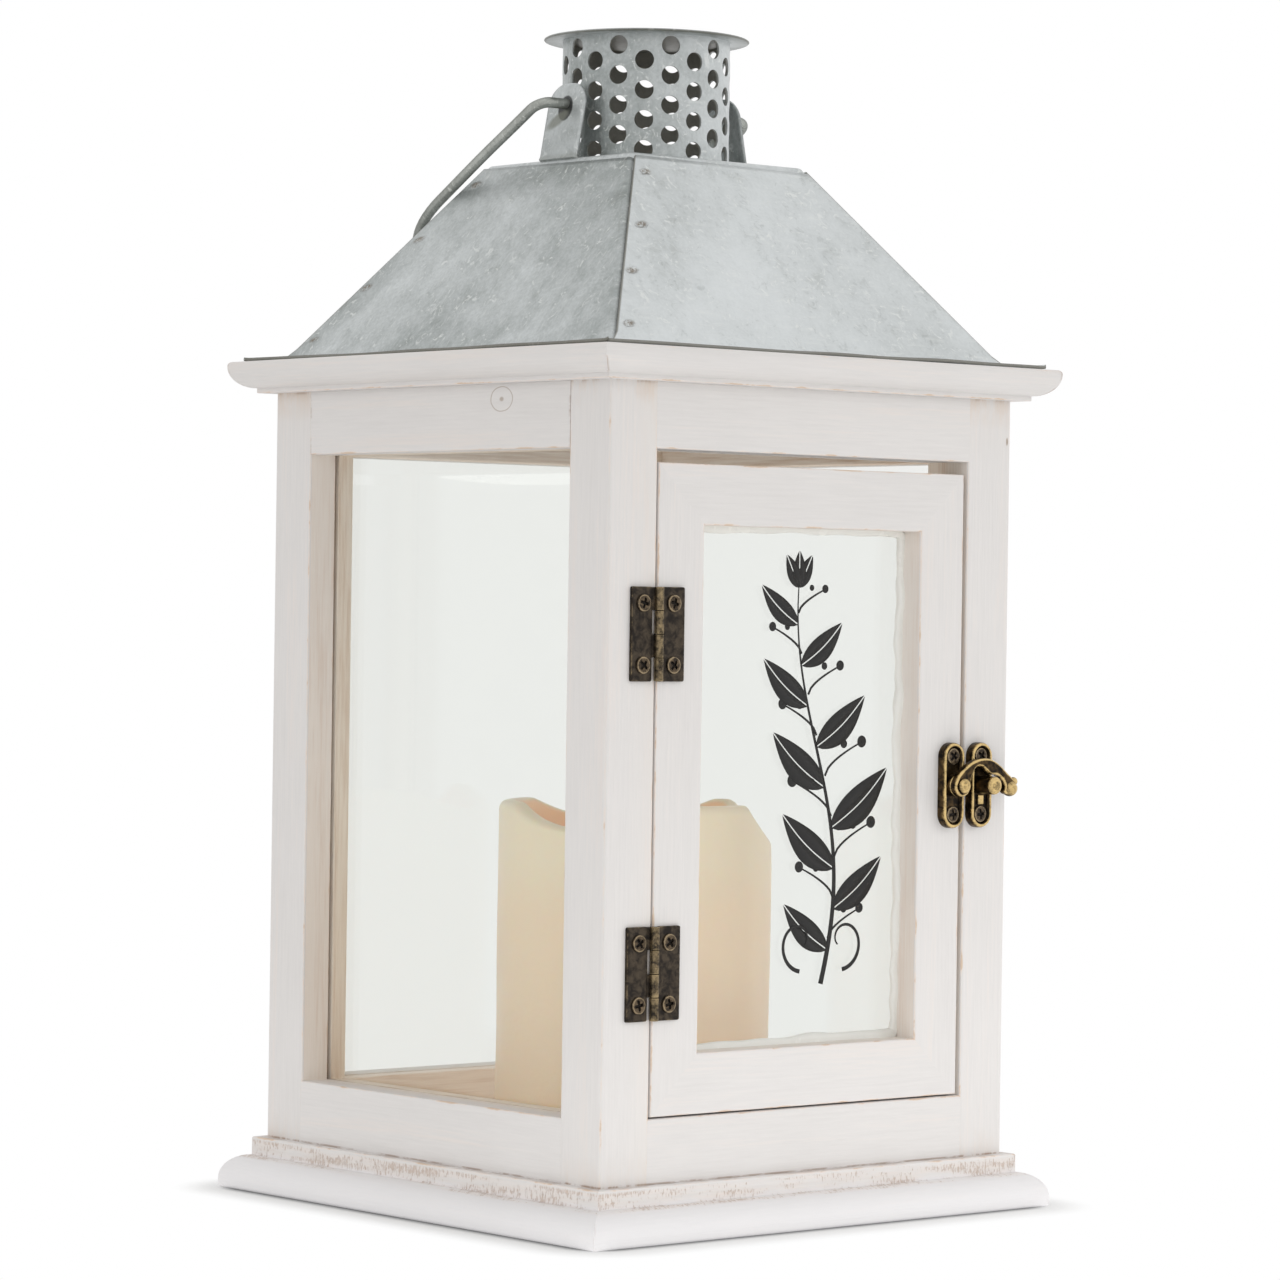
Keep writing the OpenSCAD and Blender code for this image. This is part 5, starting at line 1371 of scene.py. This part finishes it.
def candlePiece():
    # A closed profile goes up the outside, over the rim, down the well and back under it. A dip is a scoop:
    # its height at a sideways distance v is top - depth + r - sqrt(r^2 - v^2).
    radius, inside, top = candle["radius"], candle["radius"] - candle["wall"], candle["top"]
    foot, well, hollow, stem = candle["foot"], candle["well"], candle["hollow"], candle["stem"]
    t = np.linspace(0, math.pi / 2, 7)
    side = [(radius - 0.5, foot), (radius - 0.12, foot + 0.12), (radius, foot + 0.5)]
    side += [(radius, z) for z in np.linspace(20.0, 90.0, 15)]
    side += [(radius - 2.4 + 2.4 * math.cos(a), top - 2.6 + 2.6 * math.sin(a)) for a in t]
    rim = [(inside + 1.5 - 1.5 * math.sin(a), top - 1.8 + 1.8 * math.cos(a)) for a in t]
    bowl = [(inside, 96.0), (inside, 91.5), (inside - 0.6, 89.9), (inside - 2.0, well), (18.0, well),
            (6.0, well)]
    outer = np.array(side + rim + bowl + [(stem, well), (stem, hollow), (inside, hollow), (inside, foot)])
    outside, rimmed = len(side), len(side) + len(rim)
    wellSide = np.concatenate([np.zeros(outside), np.linspace(0, 1, len(rim)), np.ones(len(outer) - rimmed)])
    turns = 144

    def wobble(angle, r, z):
        # the deepest dip wins, with eased joins: log(exp(3 a) + exp(3 b)) / 3
        drop = np.zeros_like(angle)
        for way, depth, scoop in candle["dips"]:
            turn = angle - math.radians(way)
            v = np.clip(abs(candle["rimMiddle"] * np.sin(turn)), 0, scoop * 0.999)
            cut = np.where(np.cos(turn) > 0, depth - scoop + np.sqrt(scoop ** 2 - v ** 2), 0.0)
            drop = np.log(np.exp(3.0 * drop) + np.exp(3.0 * cut)) / 3.0 - math.log(2.0) / 3.0
        share = np.clip((z - 91.0) / (top - 91.0), 0, 1)
        free = np.clip((z - 92.0) / 6.0, 0, 1) + (np.arange(len(outer)) < outside)
        wave = ripple(36 * np.cos(angle) + 0 * z, z + 50 * np.sin(angle), 31, size=34.0) * candle["wave"]
        wave = np.minimum(wave * np.clip(free, 0, 1), 0.25)
        return r + wave * (z > foot + 0.6), z - np.maximum(drop, 0) * share

    points = revolved(outer, turns, wobble=wobble)
    faces = quads(*points.shape[:2], wrapRows=True, wrapCols=True)
    newPiece("candle_body", "candle", "wax", candleWax, [(points, faces, {"well": np.tile(wellSide, turns)})],
             ("candle_wax",), smooth=60.0)


candlePiece()
candleInside = {
    "candle_core": ("candle_housing", "candle", "ivory_plastic", ivory),
    "candle_lamp": ("candle_light", "candle", "light_diffuser", diffuser),
    "cell_pair": ("battery_cells", "candle", "cell_label", cellLabel),
    "contact_plates": ("battery_contacts", "candle", "contact_plating", contactMetal),
    "cell_door": ("battery_cover", "candle", "ivory_plastic", ivory),
    "switch_button": ("candle_switch", "candle_switch", "black_plastic", blackPlastic),
}
for name, (node, body, slot, finish) in candleInside.items():
    smoothCopy(name, node, body, slot, finish, bevel=0.2)
print("the candle is built")

# the ornament printed on the door's pane

prints = {"face": -62.24, "thick": 0.03, "step": 0.002, "stemWide": 1.5, "vein": 0.17}


def stroke(path, wide):
    # a band along a path: at each point its sides lie wide / 2 to the left and the right
    run = np.gradient(path, axis=0)
    run /= np.maximum(np.linalg.norm(run, axis=1, keepdims=True), 1e-9)
    side = np.stack([-run[:, 1], run[:, 0]], -1) * np.asarray(wide)[:, None] / 2
    return np.stack([path - side, path + side], 1)


def leaf(x, z, way, long, wide, bend):
    # two halves beside an open vein; the half width is wide / 2 * sin(pi t^0.8)
    t = np.linspace(0.0, 1.0, 17)
    way = math.radians(way)
    vein = prints["vein"]
    curve = bend * np.sin(np.pi * t) * long
    body = wide / 2 * np.sin(np.pi * t ** 0.8) ** 0.9
    halves = []
    for side in (-1, 1):
        rows = [np.stack([long * t, curve + side * reach], -1) for reach in (vein + 0 * t, vein + body)]
        rows = np.stack(rows, 1)
        if side < 0:
            rows = rows[:, ::-1]
        halves.append(np.stack([x + rows[..., 0] * math.cos(way) - rows[..., 1] * math.sin(way),
                                z + rows[..., 0] * math.sin(way) + rows[..., 1] * math.cos(way)], -1))
    return halves


def dot(x, z, r):
    # a disc: the ring between a tiny circle and one of radius r
    angle = np.linspace(0, 2 * np.pi, 25)
    rings = [np.stack([x + q * np.cos(angle), z + q * np.sin(angle)], -1) for q in (0.02, r)]
    return np.stack(rings, 1)[::-1]


def ornament():
    # a sprig: a wavy stem, leaves and berries on alternate sides, a bud at its top and two curls at its foot
    t = np.linspace(0, 1, 60)
    stem = np.stack([8.0 + 7.0 * np.sin(t * 4.6 + 0.4), 61.0 + 104.0 * t], -1)
    shapes = [stroke(stem, prints["stemWide"] * (1.1 - 0.85 * t))]
    for k, at in enumerate(np.linspace(0.1, 0.9, 9)):
        x, z = stem[int(at * 59)]
        side = 1 if k % 2 else -1
        size = 1.0 - 0.35 * abs(at - 0.4) / 0.5
        heading = 90 - side * 52
        shapes += leaf(x, z, heading, 25 * size, 9.0 * size, -0.05 * side)
        twig = np.linspace(0, 1, 12)
        away = np.stack([x - side * (13.0 * size) * twig, z + 3.0 + 9.0 * size * twig ** 0.6], -1)
        shapes.append(stroke(away, 0.7 - 0.25 * twig))
        shapes.append(dot(away[-1, 0] - side * 0.9, away[-1, 1] + 0.5, 1.7 * size))
        middle = away[6]
        shapes.append(dot(middle[0], middle[1] + 2.5, 1.25 * size))
    for heading in (62, 90, 118):
        shapes += leaf(stem[-1, 0], stem[-1, 1] - 1.0, heading, 9.5, 4.2, 0.0)
    spin = np.linspace(0, 1, 40)
    reach = 7.5 * (1 - 0.75 * spin)
    for side in (-1, 1):
        angle = math.radians(-90) + side * spin * 5.2
        curl = np.stack([stem[0, 0] + side * (10.5 + reach * np.cos(angle) * side) - side * 3.0,
                         72.0 + reach * np.sin(angle)], -1)
        shapes.append(stroke(curl, 1.15 - 0.7 * spin))
    parts = []
    for k, rows in enumerate(shapes):
        depth = np.full(rows.shape[:2], prints["face"] - prints["step"] * k)
        points = np.stack([rows[..., 0], depth, rows[..., 1]], -1)
        parts.append((points, quads(*points.shape[:2]), {}))
    newPiece("door_ornament", "door", "black_plastic", ink, parts, thickness=prints["thick"], outward=False)


ornament()
print("the ornament is printed on the pane")

# hand-over

low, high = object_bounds()
{"cad": [list(cadLow), list(cadHigh)], "visual": [list(low), list(high)]}
